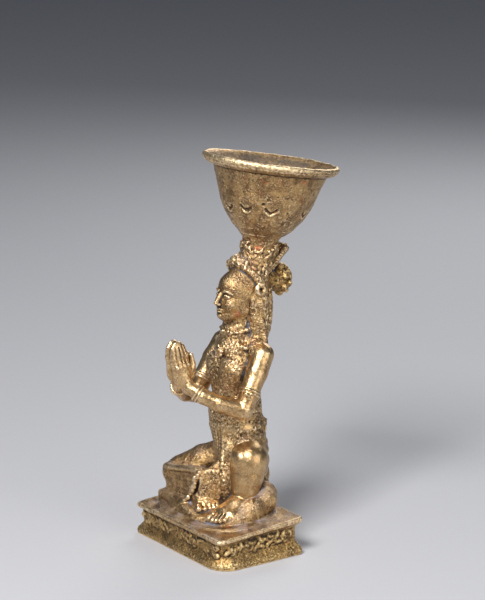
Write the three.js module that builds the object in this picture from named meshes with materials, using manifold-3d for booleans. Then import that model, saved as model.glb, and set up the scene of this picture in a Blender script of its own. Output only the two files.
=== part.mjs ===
// Votive lamp of cast brass: a devotee sits on a waisted plinth, palms together, an oil bowl on the head.
// Millimetres, +Z up. The devotee faces -Y, so the devotee's left side is +X. The skeleton below is laid out
// from the middle of the plinth's underside, and the group is then centred on the lamp's own plan box.
import * as THREE from "three";
import { mergeVertices } from "three/addons/utils/BufferGeometryUtils.js";
import Module from "manifold-3d";

const wasm = await Module();
wasm.setup();

const gap = 0.3; // clearance left between neighbouring solids
const around = 12; // facets round a limb or a body form
const along = 6; // facets from pole to pole of a body form
const closeness = 0.004; // edges shorter than this are closed up when solids are cut

const plinth = {
  halfWidth: 21,
  halfDepth: 14,
  height: 10, // at the middle: the top falls towards the front
  fall: 0.065, // rise of the top per millimetre towards the back
  wall: 2.2,
  topFrom: 0.79, // share of the height where the walls meet the top plate
  squareness: 10,
  waist: 1.3, // how far the walls draw in between foot and top
};
const seat = {
  matHalfWidth: 18.8,
  matHalfDepth: 13.2,
  matThickness: 1.2,
  cushionHalfWidth: 16.9,
  cushionHalfDepth: 11.6,
  cushionThickness: 2.2,
  squareness: 2.5,
};
const bowl = {
  foot: [0, 14.6, 86.9],
  lean: THREE.MathUtils.degToRad(9), // leans backwards
  height: 20.4,
  rimRadius: 18.9,
  wall: 1.5,
  floor: 2.6,
};

const outward = { left: 1, right: -1 }; // which way along X each side of the figure lies

// Points of the figure, [x, y, z]. "left" and "right" are the devotee's own.
const joint = {
  leftHip: [5, 8.2, 20.6],
  leftKnee: [9.6, 2.6, 26],
  leftAnkle: [10, 3.2, 15.2],
  leftHeel: [10, 4.6, 14.1],
  leftToe: [11.2, -8, 12.8],
  rightHip: [-4, 6.5, 22.4],
  rightKnee: [-14.6, -4.4, 18.4],
  rightAnkle: [-4.2, -6.6, 16.9],
  rightHeel: [-3, -5.8, 14.2],
  rightToe: [3.9, -6.6, 13.2],
  leftShoulder: [10.2, 8, 55],
  leftElbow: [11.8, 0.3, 41.9],
  leftWrist: [3.3, -10.7, 47.3],
  rightShoulder: [-9.9, 8, 55],
  rightElbow: [-10.6, 0.1, 41.6],
  rightWrist: [-3.3, -10.7, 47.1],
};

function solid(geometry) {
  geometry.deleteAttribute("normal");
  geometry.deleteAttribute("uv");
  const merged = mergeVertices(geometry, 1e-4);
  return new wasm.Manifold(
    new wasm.Mesh({
      numProp: 3,
      vertProperties: merged.attributes.position.array,
      triVerts: new Uint32Array(merged.index.array),
      tolerance: closeness,
    }),
  );
}

function union(...solids) {
  return solids.reduce((whole, next) => whole.add(next));
}

// What is left of a solid once its neighbours are cut away: the largest piece, without slivers.
function carve(blank, ...neighbours) {
  const left = neighbours.reduce((rest, next) => rest.subtract(next), blank);
  const pieces = left.decompose();
  return pieces.reduce((best, next) => (next.volume() > best.volume() ? next : best));
}

// A body form: an ellipsoid.
function form(centre, radii) {
  const geometry = new THREE.SphereGeometry(1, around, along);
  geometry.rotateX(Math.PI / 2);
  geometry.scale(...radii);
  geometry.translate(...centre);
  return solid(geometry);
}

// A limb: a tapered round bar with domed ends.
function limb(from, to, fromRadius, toRadius, facets = 10) {
  const start = new THREE.Vector3(...from);
  const end = new THREE.Vector3(...to);
  const length = start.distanceTo(end);
  const dome = [0, 1, 2].map((step) => (step / 2) * (Math.PI / 2));
  const profile = [
    ...dome.map((angle) => [fromRadius * Math.sin(angle), -fromRadius * Math.cos(angle)]),
    ...dome.reverse().map((angle) => [toRadius * Math.sin(angle), length + toRadius * Math.cos(angle)]),
  ];
  const geometry = turned(profile, facets);
  const direction = end.clone().sub(start).normalize();
  const up = new THREE.Vector3(0, 0, 1);
  geometry.applyQuaternion(new THREE.Quaternion().setFromUnitVectors(up, direction));
  geometry.translate(...from);
  return solid(geometry);
}

// A profile of [radius, height] pairs, turned about Z.
function turned(profile, facets = 32) {
  const points = profile.map(([radius, height]) => new THREE.Vector2(Math.max(radius, 0), height));
  return new THREE.LatheGeometry(points, facets).rotateX(Math.PI / 2);
}

// A moulded slab: a profile of [inset, height] pairs, carried round a rounded rectangle.
function moulded(profile, halfWidth, halfDepth, squareness, facets = 48) {
  const rings = profile.map(([inset, height]) => [halfDepth - inset, height]);
  const geometry = turned([[0, profile[0][1]], ...rings, [0, profile.at(-1)[1]]], facets);
  const places = geometry.attributes.position;
  const bend = (value) => Math.sign(value) * Math.abs(value) ** (2 / squareness);
  for (let i = 0; i < places.count; i++) {
    const x = places.getX(i);
    const y = places.getY(i);
    const radius = Math.hypot(x, y);
    if (radius < 1e-6) continue;
    const inset = halfDepth - radius;
    places.setX(i, (halfWidth - inset) * bend(roundOff(x / radius)));
    places.setY(i, (halfDepth - inset) * bend(roundOff(y / radius)));
  }
  return geometry;
}

function roundOff(value) {
  return Math.abs(value) < 1e-9 ? 0 : value;
}

// Lets a level slab follow the plinth's sloping top, from the given height upwards.
function sloped(geometry, share = 1) {
  const places = geometry.attributes.position;
  for (let i = 0; i < places.count; i++) {
    places.setZ(i, places.getZ(i) + places.getY(i) * plinth.fall * share);
  }
  return geometry;
}

// A band: a round bar bent into an oval ring, leant about X.
function band(centre, halfWidth, halfDepth, thickness, lean = 0, facets = 18) {
  const geometry = new THREE.TorusGeometry(1, 1, 5, facets);
  const places = geometry.attributes.position;
  for (let i = 0; i < places.count; i++) {
    const ring = Math.hypot(places.getX(i), places.getY(i));
    const angle = Math.atan2(places.getY(i), places.getX(i));
    const out = (ring - 1) * thickness;
    places.setXYZ(
      i,
      (halfWidth + out) * Math.cos(angle),
      (halfDepth + out) * Math.sin(angle),
      places.getZ(i) * thickness,
    );
  }
  geometry.rotateX(lean);
  geometry.translate(...centre);
  return solid(geometry);
}

// A bangle round a limb that runs from one point to another.
function bangle(at, from, to, radius, thickness) {
  const geometry = new THREE.TorusGeometry(radius, thickness, 4, 12);
  const along = new THREE.Vector3(...to).sub(new THREE.Vector3(...from)).normalize();
  const face = new THREE.Vector3(0, 0, 1);
  geometry.applyQuaternion(new THREE.Quaternion().setFromUnitVectors(face, along));
  const place = new THREE.Vector3(...from).lerp(new THREE.Vector3(...to), at);
  geometry.translate(place.x, place.y, place.z);
  return solid(geometry);
}

// A strip: a curve of [y, z] points, thickened to both sides and drawn out along X.
function strip(points, middleX, halfWidth, halfThickness, steps = 8) {
  const path = new THREE.SplineCurve(points.map(([y, z]) => new THREE.Vector2(y, z)));
  const edge = (side) => {
    const places = [];
    for (let i = 0; i <= steps; i++) {
      const along = path.getTangent(i / steps);
      const offset = new THREE.Vector2(-along.y, along.x).multiplyScalar(side * halfThickness);
      places.push(path.getPoint(i / steps).add(offset));
    }
    return places;
  };
  const outline = new THREE.Shape([...edge(1), ...edge(-1).reverse()]);
  const geometry = new THREE.ExtrudeGeometry(outline, { depth: 2 * halfWidth, bevelEnabled: false });
  // The outline's own X and Y become Y and Z.
  const turn = new THREE.Matrix4().set(0, 0, 1, middleX - halfWidth, 1, 0, 0, 0, 0, 1, 0, 0, 0, 0, 0, 1);
  geometry.applyMatrix4(turn);
  return solid(geometry);
}

const plinthProfile = [
  [0.3, 0],
  [0, 0.07],
  [0.2, 0.18],
  [plinth.waist, 0.36],
  [plinth.waist, 0.66],
  [0.1, 0.87],
  [0.1, 0.95],
  [0.5, 1],
];

// The plinth's outer shape, whose top falls towards the front.
function plinthBlank() {
  const geometry = moulded(plinthProfile, plinth.halfWidth, plinth.halfDepth, plinth.squareness, 40);
  const places = geometry.attributes.position;
  for (let i = 0; i < places.count; i++) {
    const share = places.getZ(i);
    places.setZ(i, share * (plinth.height + plinth.fall * places.getY(i)));
  }
  return solid(geometry);
}

function box(lowest, highest) {
  const size = highest.map((high, i) => high - lowest[i]);
  const geometry = new THREE.BoxGeometry(...size);
  geometry.translate(...highest.map((high, i) => (high + lowest[i]) / 2));
  return solid(geometry);
}

// Everything above the plane where the walls meet the top plate, lifted by rise.
function abovePlate(rise) {
  const geometry = new THREE.BoxGeometry(3 * plinth.halfWidth, 3 * plinth.halfWidth, 2 * plinth.height);
  geometry.translate(0, 0, plinth.height);
  const places = geometry.attributes.position;
  for (let i = 0; i < places.count; i++) {
    const level = plinth.topFrom * (plinth.height + plinth.fall * places.getY(i));
    places.setZ(i, places.getZ(i) + level + rise);
  }
  return solid(geometry);
}

// One quarter of the plinth's plan, mitred at 45 degrees at the corners and moved out by half the gap.
function mitre(side) {
  const reach = plinth.halfWidth + plinth.halfDepth;
  const ends = plinth.halfWidth - plinth.halfDepth;
  const outlines = {
    front: [[-ends, 0], [-ends - reach, -reach], [ends + reach, -reach], [ends, 0]],
    left: [[ends, 0], [ends + reach, -reach], [ends + reach, reach]],
    back: [[ends, 0], [ends + reach, reach], [-ends - reach, reach], [-ends, 0]],
    right: [[-ends, 0], [-ends - reach, reach], [-ends - reach, -reach]],
  };
  const moves = { front: [0, -1], left: [1, 0], back: [0, 1], right: [-1, 0] };
  const shape = new THREE.Shape(outlines[side].map(([x, y]) => new THREE.Vector2(x, y)));
  const geometry = new THREE.ExtrudeGeometry(shape, { depth: 20, bevelEnabled: false });
  const move = gap / Math.SQRT2;
  geometry.translate(moves[side][0] * move, moves[side][1] * move, -5);
  return solid(geometry);
}

const hollow = box(
  [plinth.waist + plinth.wall - plinth.halfWidth, plinth.waist + plinth.wall - plinth.halfDepth, -5],
  [plinth.halfWidth - plinth.waist - plinth.wall, plinth.halfDepth - plinth.waist - plinth.wall, 20],
);

function plinthWall(side) {
  return carve(plinthBlank().intersect(mitre(side)), hollow, abovePlate(-gap));
}

function plinthTop() {
  return plinthBlank().intersect(abovePlate(0));
}

function seatMat(grow = 0) {
  const low = plinth.height + gap - grow;
  const high = plinth.height + gap + seat.matThickness + grow;
  const profile = [[0.6 - grow, low], [-grow, low + 0.5], [0.1 - grow, high - 0.5], [0.8 - grow, high]];
  const geometry = moulded(profile, seat.matHalfWidth, seat.matHalfDepth, seat.squareness, 32);
  return solid(sloped(geometry));
}

function seatCushion(grow = 0) {
  const low = plinth.height + 2 * gap + seat.matThickness - grow;
  const high = low + seat.cushionThickness + 2 * grow;
  const middle = (low + high) / 2;
  const profile = [[1.2 - grow, low], [-grow, middle - 0.4], [0.1 - grow, middle + 0.5], [1.6 - grow, high]];
  const geometry = moulded(profile, seat.cushionHalfWidth, seat.cushionHalfDepth, seat.squareness, 32);
  // The cushion is nearly level on top, so it is a little thinner at the back.
  return solid(sloped(geometry, 0.9));
}

// The feet press hollows of their own shape into the cushion's front.
const footprint = (grow = 0) => union(leftFoot(grow), rightFoot(grow));

const leftFoot = (grow = 0) => limb(joint.leftHeel, joint.leftToe, 2.3 + grow, 1.9 + grow);
const rightFoot = (grow = 0) => limb(joint.rightHeel, joint.rightToe, 2.2 + grow, 1.7 + grow);

const leftLeg = (grow = 0) =>
  union(
    limb(joint.leftHip, joint.leftKnee, 5.2 + grow, 4.7 + grow),
    limb(joint.leftKnee, joint.leftAnkle, 4.5 + grow, 2.8 + grow),
  );

const rightThigh = (grow = 0) => limb(joint.rightHip, joint.rightKnee, 6 + grow, 4.5 + grow);

// The folded shin under its wrap, whose pleated front hangs straight and rises towards the lap.
const drape = { centre: [-6.6, -4.8, 16.8], halfSize: [7.6, 2.7, 4.4], tilt: THREE.MathUtils.degToRad(-11) };

function rightShin(grow = 0) {
  const cloth = new THREE.BoxGeometry(...drape.halfSize.map((half) => 2 * (half + grow)));
  cloth.rotateY(drape.tilt);
  cloth.translate(...drape.centre);
  const [x, y, z] = joint.rightKnee;
  return union(solid(cloth), limb([x, y - 1.2, z - 0.6], joint.rightAnkle, 3.6 + grow, 2.8 + grow));
}

const hips = (grow = 0) => form([0, 8.2, 23.6], [8.9 + grow, 7.2 + grow, 9.8 + grow]);

// The sash hangs from the waist into the lap and falls from there to the cushion.
const sashDrop = [
  [-1.2, 34],
  [-0.8, 28],
  [-2.6, 24],
  [-5.2, 21.4],
  [-5.6, 16],
];
const frontSash = (grow = 0) => strip(sashDrop, 1.8, 2.4 + grow, 0.9 + grow);

const torso = (grow = 0) =>
  union(
    form([0, 6, 38], [7.8 + grow, 6.9 + grow, 7.4 + grow]),
    form([0, 6.4, 51], [9 + grow, 6.2 + grow, 7.6 + grow]),
    form([4.2, 1.7, 50.5], [3.3 + grow, 3 + grow, 3.2 + grow]),
    form([-4.2, 1.7, 50.5], [3.3 + grow, 3 + grow, 3.2 + grow]),
    limb([-8.6, 7.6, 55.6], [8.6, 7.6, 55.6], 3 + grow, 3 + grow),
    limb([0, 8.2, 56], [0, 7.9, 64], 3.7 + grow, 3.3 + grow),
  );

const upperArm = (side, grow = 0) =>
  limb(joint[side + "Shoulder"], joint[side + "Elbow"], 3.2 + grow, 2.8 + grow);
const forearm = (side, grow = 0) =>
  limb(joint[side + "Elbow"], joint[side + "Wrist"], 2.8 + grow, 2 + grow);

// A hand of the pressed pair: palm, flat fingers and thumb, all on its own side of the middle plane.
function hand(side, grow = 0) {
  const at = (x, y, z) => [outward[side] * x, y, z];
  const whole = union(
    limb(at(2.1, -11.4, 49.6), at(1.7, -13, 53.4), 2.4 + grow, 2.3 + grow, 8),
    limb(at(1.6, -12.4, 52.8), at(1.3, -13.4, 60.4), 1.8 + grow, 1.4 + grow, 8),
    limb(at(1.6, -14.6, 52.6), at(1.3, -15.4, 59.4), 1.8 + grow, 1.3 + grow, 8),
    limb(at(1.9, -9.6, 51), at(1.5, -10.2, 56.2), 1.4 + grow, 1.1 + grow, 8),
  );
  const inner = gap / 2 - grow;
  const own = side === "left" ? box([inner, -30, 30], [20, 0, 80]) : box([-20, -30, 30], [-inner, 0, 80]);
  return whole.intersect(own);
}

const wristBangle = (side) => bangle(0.84, joint[side + "Elbow"], joint[side + "Wrist"], 2.5, 0.7);
const armlet = (side) => bangle(0.72, joint[side + "Shoulder"], joint[side + "Elbow"], 3.25, 0.7);
const anklet = () => bangle(0.8, joint.leftKnee, joint.leftAnkle, 3.5, 0.65);

const waistCord = (grow = 0) => band([0, 6.2, 35.2], 7.8, 7, 1 + grow, -0.06);
const necklace = (grow = 0) => band([0, 6.6, 58], 4.6, 5, 0.9 + grow, 0.35);
const pendant = () => form([0, 0.4, 54.8], [1.5, 1.2, 1.7]);

const head = (grow = 0) =>
  union(
    form([0, 8.2, 72.6], [5.6 + grow, 6.9 + grow, 7.6 + grow]),
    form([0, 4.9, 70.2], [4.7 + grow, 5 + grow, 6.7 + grow]),
    limb([0, 0.7, 71.2], [0, -0.1, 69.4], 0.7 + grow, 1 + grow, 8),
  );

function earring(side, grow = 0) {
  const geometry = new THREE.TorusGeometry(1.3, 0.7 + grow, 6, 12);
  geometry.rotateY(Math.PI / 2);
  geometry.translate(outward[side] * 6.2, 10.2, 72.8);
  return solid(geometry);
}

function sideLock(side, grow = 0) {
  const x = outward[side] * 5.7;
  return union(
    limb([x, 10.6, 70], [x * 1.03, 10.4, 65], 1.5 + grow, 1.7 + grow, 8),
    limb([x * 1.03, 10.8, 64.6], [x * 1.12, 10.8, 59.8], 1.8 + grow, 1.5 + grow, 8),
  );
}

const tiara = (grow = 0) => band([0, 8.6, 78.4], 5.5, 4.7, 1.3 + grow, 0.5);
const hairCrown = (grow = 0) =>
  union(
    form([0, 11.6, 78.6], [5.2 + grow, 5.4 + grow, 4.2 + grow]),
    limb([0, 12, 78.6], [0, 12.6, 82.4], 4.4 + grow, 4.4 + grow),
  );
const hairBun = (grow = 0) =>
  union(
    form([0, 20.4, 73.6], [4 + grow, 3.6 + grow, 3.9 + grow]),
    limb([0, 14, 74.4], [0, 19, 73.8], 2.6 + grow, 2.6 + grow, 8),
  );

const plumeRise = [
  [15.6, 76.4],
  [19.2, 80],
  [22.6, 83.2],
];
const backPlume = (grow = 0) => strip(plumeRise, 0, 2.8 + grow, 0.8 + grow, 3);

// The short column between hair and bowl.
function lampStem(grow = 0) {
  const top = 6.3 + grow;
  const profile = [[0, 0], [5 + grow, 0], [4.6 + grow, 3], [5.5 + grow, 5.6], [5.5 + grow, top], [0, top]];
  const geometry = turned(profile, 18);
  geometry.rotateX(-bowl.lean);
  geometry.translate(0, 13.3, 80.6);
  return solid(geometry);
}

function lampBowl() {
  const { wall, floor, height, rimRadius } = bowl;
  const outside = [[0, 0], [5.8, 0], [8.4, 2], [10.7, 5], [12.3, 8.4], [14.1, 12.4], [16.2, 18]];
  const rim = [[17, 18.9], [rimRadius, height - 0.4], [rimRadius - 0.6, height]];
  const inside = [[16, 18.4], [14.1 - wall, 12.4], [12.3 - wall, 8.4], [8.4, 4.4], [4, floor], [0, floor]];
  const geometry = turned([...outside, ...rim, ...inside], 30);
  geometry.rotateX(-bowl.lean);
  geometry.translate(bowl.foot[0], bowl.foot[1], bowl.foot[2] + gap);
  return solid(geometry);
}

// The hem falls across the end of the pleats and runs out over the cushion: a string of beads, each biting
// into the next.
const hemPath = [
  [0.6, -8.2, 22.2],
  [0.1, -8.3, 19.8],
  [-0.8, -8.4, 17.2],
  [-2.2, -8.8, 15],
  [-4, -10, 14],
  [-5.6, -11.4, 13],
];

function hemBeading() {
  const hem = new THREE.CatmullRomCurve3(hemPath.map((point) => new THREE.Vector3(...point)));
  const beads = hem.getSpacedPoints(10).map((point) => {
    const geometry = new THREE.SphereGeometry(0.95, 6, 4);
    geometry.translate(point.x, point.y, point.z);
    return solid(geometry);
  });
  return union(...beads);
}

function brass(colour, roughness) {
  return new THREE.MeshStandardMaterial({ color: colour, roughness, metalness: 1 });
}

const agedBrass = brass(0x8a6a38, 0.5);
const darkBrass = brass(0x5f4a2a, 0.62);
const wornBrass = brass(0xb08c4e, 0.36);

const root = new THREE.Group();

function add(name, blank, material) {
  const made = blank.getMesh();
  const geometry = new THREE.BufferGeometry();
  geometry.setAttribute("position", new THREE.BufferAttribute(made.vertProperties, 3));
  geometry.setIndex(new THREE.BufferAttribute(made.triVerts, 1));
  geometry.computeVertexNormals();
  const mesh = new THREE.Mesh(geometry, material);
  mesh.name = name;
  root.add(mesh);
}

for (const side of ["front", "left", "back", "right"]) {
  add(`plinth_wall_${side}`, plinthWall(side), darkBrass);
}
add("plinth_top", plinthTop(), agedBrass);

const mat = seatMat(gap);
const cushion = carve(seatCushion(gap), footprint());
add("seat_mat", carve(seatMat(), leftFoot(gap), rightFoot(gap)), agedBrass);
add("seat_cushion", carve(seatCushion(), footprint(gap)), agedBrass);

add("left_foot", leftFoot(), wornBrass);
add("right_foot", rightFoot(), wornBrass);
add("left_leg", carve(leftLeg(), leftFoot(gap), cushion, mat), wornBrass);
add("left_anklet", carve(anklet(), leftLeg(gap), leftFoot(gap), cushion), wornBrass);
add("right_thigh", carve(rightThigh(), cushion, leftLeg(gap)), agedBrass);
add("right_shin", carve(rightShin(), rightThigh(gap), cushion, mat, rightFoot(gap)), agedBrass);
const legs = [leftLeg(gap), rightThigh(gap), rightShin(gap)];
add("hip_wrap", carve(hips(), cushion, ...legs), agedBrass);
add("torso", carve(torso(), hips(gap)), agedBrass);
add("waist_cord", carve(waistCord(), torso(gap), hips(gap)), wornBrass);
const feet = [leftFoot(gap), rightFoot(gap)];
add(
  "front_sash",
  carve(frontSash(), hips(gap), torso(gap), waistCord(gap), ...legs, ...feet, cushion, mat),
  agedBrass,
);
add(
  "hem_beading",
  carve(hemBeading(), rightShin(gap), frontSash(gap), cushion, mat, rightFoot(gap)),
  wornBrass,
);

for (const side of ["left", "right"]) {
  add(`${side}_upper_arm`, carve(upperArm(side), torso(gap)), wornBrass);
  add(`${side}_forearm`, carve(forearm(side), upperArm(side, gap), torso(gap)), wornBrass);
  add(`${side}_hand`, carve(hand(side), forearm(side, gap)), wornBrass);
  add(`${side}_bangle`, carve(wristBangle(side), forearm(side, gap), hand(side, gap)), wornBrass);
  add(`${side}_armlet`, carve(armlet(side), upperArm(side, gap), forearm(side, gap), torso(gap)), wornBrass);
}

add("head", carve(head(), torso(gap)), agedBrass);
add("necklace", carve(necklace(), torso(gap), head(gap)), wornBrass);
add("pendant", carve(pendant(), torso(gap), necklace(gap)), wornBrass);
for (const side of ["left", "right"]) {
  add(`${side}_earring`, carve(earring(side), head(gap)), wornBrass);
  const lock = carve(sideLock(side), head(gap), torso(gap), necklace(gap), earring(side, gap));
  add(`${side}_side_lock`, lock, agedBrass);
}
add("tiara", carve(tiara(), head(gap)), agedBrass);
add("hair_crown", carve(hairCrown(), head(gap), tiara(gap)), agedBrass);
add("hair_bun", carve(hairBun(), head(gap), hairCrown(gap)), darkBrass);
add("lamp_stem", carve(lampStem(), hairCrown(gap), head(gap), tiara(gap)), agedBrass);
add("back_plume", carve(backPlume(), hairCrown(gap), head(gap), hairBun(gap), lampStem(gap)), agedBrass);
add("lamp_bowl", carve(lampBowl(), lampStem(gap), backPlume(gap)), agedBrass);

// The finished lamp stands on z = 0 with its plan box centred on the axis.
const whole = new THREE.Box3().setFromObject(root);
const middle = whole.getCenter(new THREE.Vector3());
root.position.set(-middle.x, -middle.y, -whole.min.z);

export default root;
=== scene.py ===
import math
import time

import bpy
import numpy as np
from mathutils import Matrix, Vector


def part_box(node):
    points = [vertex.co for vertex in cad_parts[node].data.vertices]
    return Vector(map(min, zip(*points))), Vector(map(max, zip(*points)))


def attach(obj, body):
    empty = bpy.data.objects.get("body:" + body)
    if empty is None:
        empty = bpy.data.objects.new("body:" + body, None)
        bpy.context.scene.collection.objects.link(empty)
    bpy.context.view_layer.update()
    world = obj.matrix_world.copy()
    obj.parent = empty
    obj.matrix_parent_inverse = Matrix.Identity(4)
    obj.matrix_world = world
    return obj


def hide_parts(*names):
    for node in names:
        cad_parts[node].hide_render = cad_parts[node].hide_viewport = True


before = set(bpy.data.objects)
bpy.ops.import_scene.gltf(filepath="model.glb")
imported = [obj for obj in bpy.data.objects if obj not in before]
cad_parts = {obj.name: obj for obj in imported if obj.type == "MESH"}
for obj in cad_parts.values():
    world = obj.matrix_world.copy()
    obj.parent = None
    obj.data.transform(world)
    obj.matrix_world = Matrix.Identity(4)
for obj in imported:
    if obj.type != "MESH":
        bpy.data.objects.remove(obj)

import openvdb
from mathutils import Euler, Vector

startTime = time.time()
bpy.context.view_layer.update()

# The lamp is sculpted in millimetres, from the middle of the plinth's underside. The devotee faces -Y, so
# the
# devotee's left is +X. Each piece is a set of soft strokes, and neighbouring strokes run together as wax
# does.
plinthLow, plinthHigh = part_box("plinth_top")
lampMiddle = Vector(((plinthLow[0] + plinthHigh[0]) / 2, (plinthLow[1] + plinthHigh[1]) / 2, 0))

wax = {
    "voxel": 0.18,        # grid step of the body pieces, mm
    "fineVoxel": 0.14,    # grid step of the head, hands and feet
    "bowlVoxel": 0.26,    # grid step of the big plain bowl
    "farAway": 4.0,       # what the grid says where there is no metal
    "overlap": 0.08,      # how far neighbouring pieces reach into each other
    "margin": 0.9,        # room left round a piece
    "surveyStep": 0.45,   # grid step for finding the hollows
    "hollowReach": 3,     # blur of that survey, in steps
}
redPatches = [((4.0, 11.0, 84.8), 2.4), ((2.6, 0.9, 62.4), 1.8), ((4.3, 3.2, 66.6), 1.3),
              ((6.0, -1.0, 45.0), 1.2)]
slots = {"agedBrass": "aged_brass", "wornBrass": "worn_brass", "darkBrass": "dark_brass"}
strokes = []
castings = []


def stage(words):
    print(f"[{time.time() - startTime:5.1f} s] {words}")


# Camera, light and floor

shot = {
    "place": (496.75, -340.06, 217.25),    # mm
    "aim": (19.45, -5.5, 74.87),
    "lens": 135.9,                         # mm, on a 36 mm sensor
}


def makeCamera():
    camera = bpy.data.objects.new("camera", bpy.data.cameras.new("camera"))
    bpy.context.collection.objects.link(camera)
    camera.location = lampMiddle + Vector(shot["place"]) * 0.001
    camera.rotation_euler = (Vector(shot["aim"]) - Vector(shot["place"])).to_track_quat("-Z",
                                                                                        "Y").to_euler()
    camera.data.lens = shot["lens"]
    camera.data.sensor_width = 36
    camera.data.clip_start = 0.01
    bpy.context.scene.camera = camera


studio = {
    "keyPower": 6.5,
    "keySize": 0.26,
    "keyPlace": (0.24, -0.42, 0.56),
    "fillPower": 1.5,
    "fillSize": 0.4,
    "fillPlace": (0.62, 0.1, 0.22),
    "backPower": 1.2,
    "backSize": 0.3,
    "backPlace": (-0.3, 0.45, 0.4),
    "skyColour": (0.62, 0.68, 0.8, 1),
    "skyStrength": 0.14,
    "floorColour": (0.5, 0.5, 0.52, 1),
    "floorHalf": 2.0,
}


def makeLight(name, power, size, place):
    light = bpy.data.objects.new(name, bpy.data.lights.new(name, "AREA"))
    bpy.context.collection.objects.link(light)
    light.data.energy = power
    light.data.size = size
    light.location = place
    aim = Vector((0, -0.005, 0.05)) - light.location
    light.rotation_euler = aim.to_track_quat("-Z", "Y").to_euler()


def makeStudio():
    for part in ("key", "fill", "back"):
        makeLight(part + "Light", studio[part + "Power"], studio[part + "Size"], studio[part + "Place"])
    world = bpy.data.worlds.new("studioSky")
    world.use_nodes = True
    sky = world.node_tree.nodes["Background"]
    sky.inputs["Color"].default_value = studio["skyColour"]
    sky.inputs["Strength"].default_value = studio["skyStrength"]
    bpy.context.scene.world = world
    bpy.context.scene.view_settings.view_transform = "Standard"
    half = studio["floorHalf"]
    mesh = bpy.data.meshes.new("floor")
    mesh.from_pydata([(-half, -half, 0), (half, -half, 0), (half, half, 0), (-half, half, 0)], [],
                     [(0, 1, 2, 3)])
    floor = bpy.data.objects.new("floor", mesh)
    bpy.context.collection.objects.link(floor)
    paint = bpy.data.materials.new("paleFloor")
    paint.use_nodes = True
    shader = paint.node_tree.nodes["Principled BSDF"]
    shader.inputs["Base Color"].default_value = studio["floorColour"]
    shader.inputs["Roughness"].default_value = 0.9
    mesh.materials.append(paint)


# Strokes
# A form is a distance function with its lowest and highest corner.

def turnMatrix(turn):
    return np.array(Euler([math.radians(a) for a in turn]).to_matrix(), dtype=np.float32)


def localTo(centre, turn):
    matrix = turnMatrix(turn)

    def local(x, y, z):
        px, py, pz = x - centre[0], y - centre[1], z - centre[2]
        return [px * matrix[0, i] + py * matrix[1, i] + pz * matrix[2, i] for i in range(3)]

    return local, matrix


def cornersOf(centre, halfSizes, matrix):
    reach = np.sqrt(((matrix * np.array(halfSizes)) ** 2).sum(axis=1)) + 0.01
    return np.array(centre) - reach, np.array(centre) + reach


def rod(start, end, startRadius, endRadius=None):
    endRadius = startRadius if endRadius is None else endRadius
    a = np.array(start, dtype=np.float32)
    run = np.array(end, dtype=np.float32) - a
    square = max(float(run @ run), 1e-6)

    def shape(x, y, z):
        px, py, pz = x - a[0], y - a[1], z - a[2]
        t = np.clip((px * run[0] + py * run[1] + pz * run[2]) / square, 0, 1)
        away = np.sqrt((px - t * run[0]) ** 2 + (py - t * run[1]) ** 2 + (pz - t * run[2]) ** 2)
        return away - (startRadius + (endRadius - startRadius) * t)

    reach = max(startRadius, endRadius)
    return shape, np.minimum(a, a + run) - reach, np.maximum(a, a + run) + reach


def egg(centre, radii, turn=(0, 0, 0)):
    local, matrix = localTo(centre, turn)

    def shape(x, y, z):
        q = local(x, y, z)
        near = np.sqrt(sum((q[i] / radii[i]) ** 2 for i in range(3)))
        slope = np.sqrt(sum((q[i] / radii[i] ** 2) ** 2 for i in range(3)))
        return near * (near - 1) / np.maximum(slope, 1e-4)

    return (shape, *cornersOf(centre, radii, matrix))


def hoop(centre, radii, thickness, turn=(0, 0, 0)):
    local, matrix = localTo(centre, turn)

    def shape(x, y, z):
        u, v, w = local(x, y, z)
        near = np.sqrt((u / radii[0]) ** 2 + (v / radii[1]) ** 2)
        slope = np.sqrt((u / radii[0] ** 2) ** 2 + (v / radii[1] ** 2) ** 2)
        return np.sqrt((near * (near - 1) / np.maximum(slope, 1e-4)) ** 2 + w ** 2) - thickness

    return (shape, *cornersOf(centre, (radii[0] + thickness, radii[1] + thickness, thickness), matrix))


def board(centre, halfSizes, rounding, turn=(0, 0, 0)):
    local, matrix = localTo(centre, turn)

    def shape(x, y, z):
        q = [np.abs(part) - half + rounding for part, half in zip(local(x, y, z), halfSizes)]
        outside = np.sqrt(sum(np.maximum(part, 0) ** 2 for part in q))
        return outside + np.minimum(np.maximum(np.maximum(q[0], q[1]), q[2]), 0) - rounding

    return (shape, *cornersOf(centre, halfSizes, matrix))


def along(points, count):
    # points spread evenly along a smooth curve through the given ones
    places = np.array(points, dtype=float)
    ends = np.vstack([2 * places[0] - places[1], places, 2 * places[-1] - places[-2]])
    fine = []
    for i in range(1, len(ends) - 2):
        p0, p1, p2, p3 = ends[i - 1:i + 3]
        for t in np.linspace(0, 1, 16, endpoint=False):
            fine.append(0.5 * (2 * p1 + (p2 - p0) * t + (2 * p0 - 5 * p1 + 4 * p2 - p3) * t * t
                               + (3 * p1 - p0 - 3 * p2 + p3) * t ** 3))
    fine = np.array(fine + [places[-1]])
    walked = np.concatenate([[0], np.cumsum(np.linalg.norm(np.diff(fine, axis=0)[:, :3], axis=1))])
    wanted = np.linspace(0, walked[-1], count)
    return np.stack([np.interp(wanted, walked, fine[:, i]) for i in range(fine.shape[1])], axis=1)


def add(piece, form, blend=0.5):
    strokes.append({"piece": piece, "shape": form[0], "low": form[1], "high": form[2], "blend": blend,
                    "cut": False})


def cut(form, blend=0.2):
    strokes.append({"piece": None, "shape": form[0], "low": form[1], "high": form[2], "blend": blend,
                    "cut": True})


def limb(piece, stations, blend=0.5, joint=0.6):
    # stations are (x, y, z, radius), joined by tapering rods
    for i, (one, two) in enumerate(zip(stations, stations[1:])):
        add(piece, rod(one[:3], two[:3], one[3], two[3]), blend if i == 0 else joint)


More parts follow.
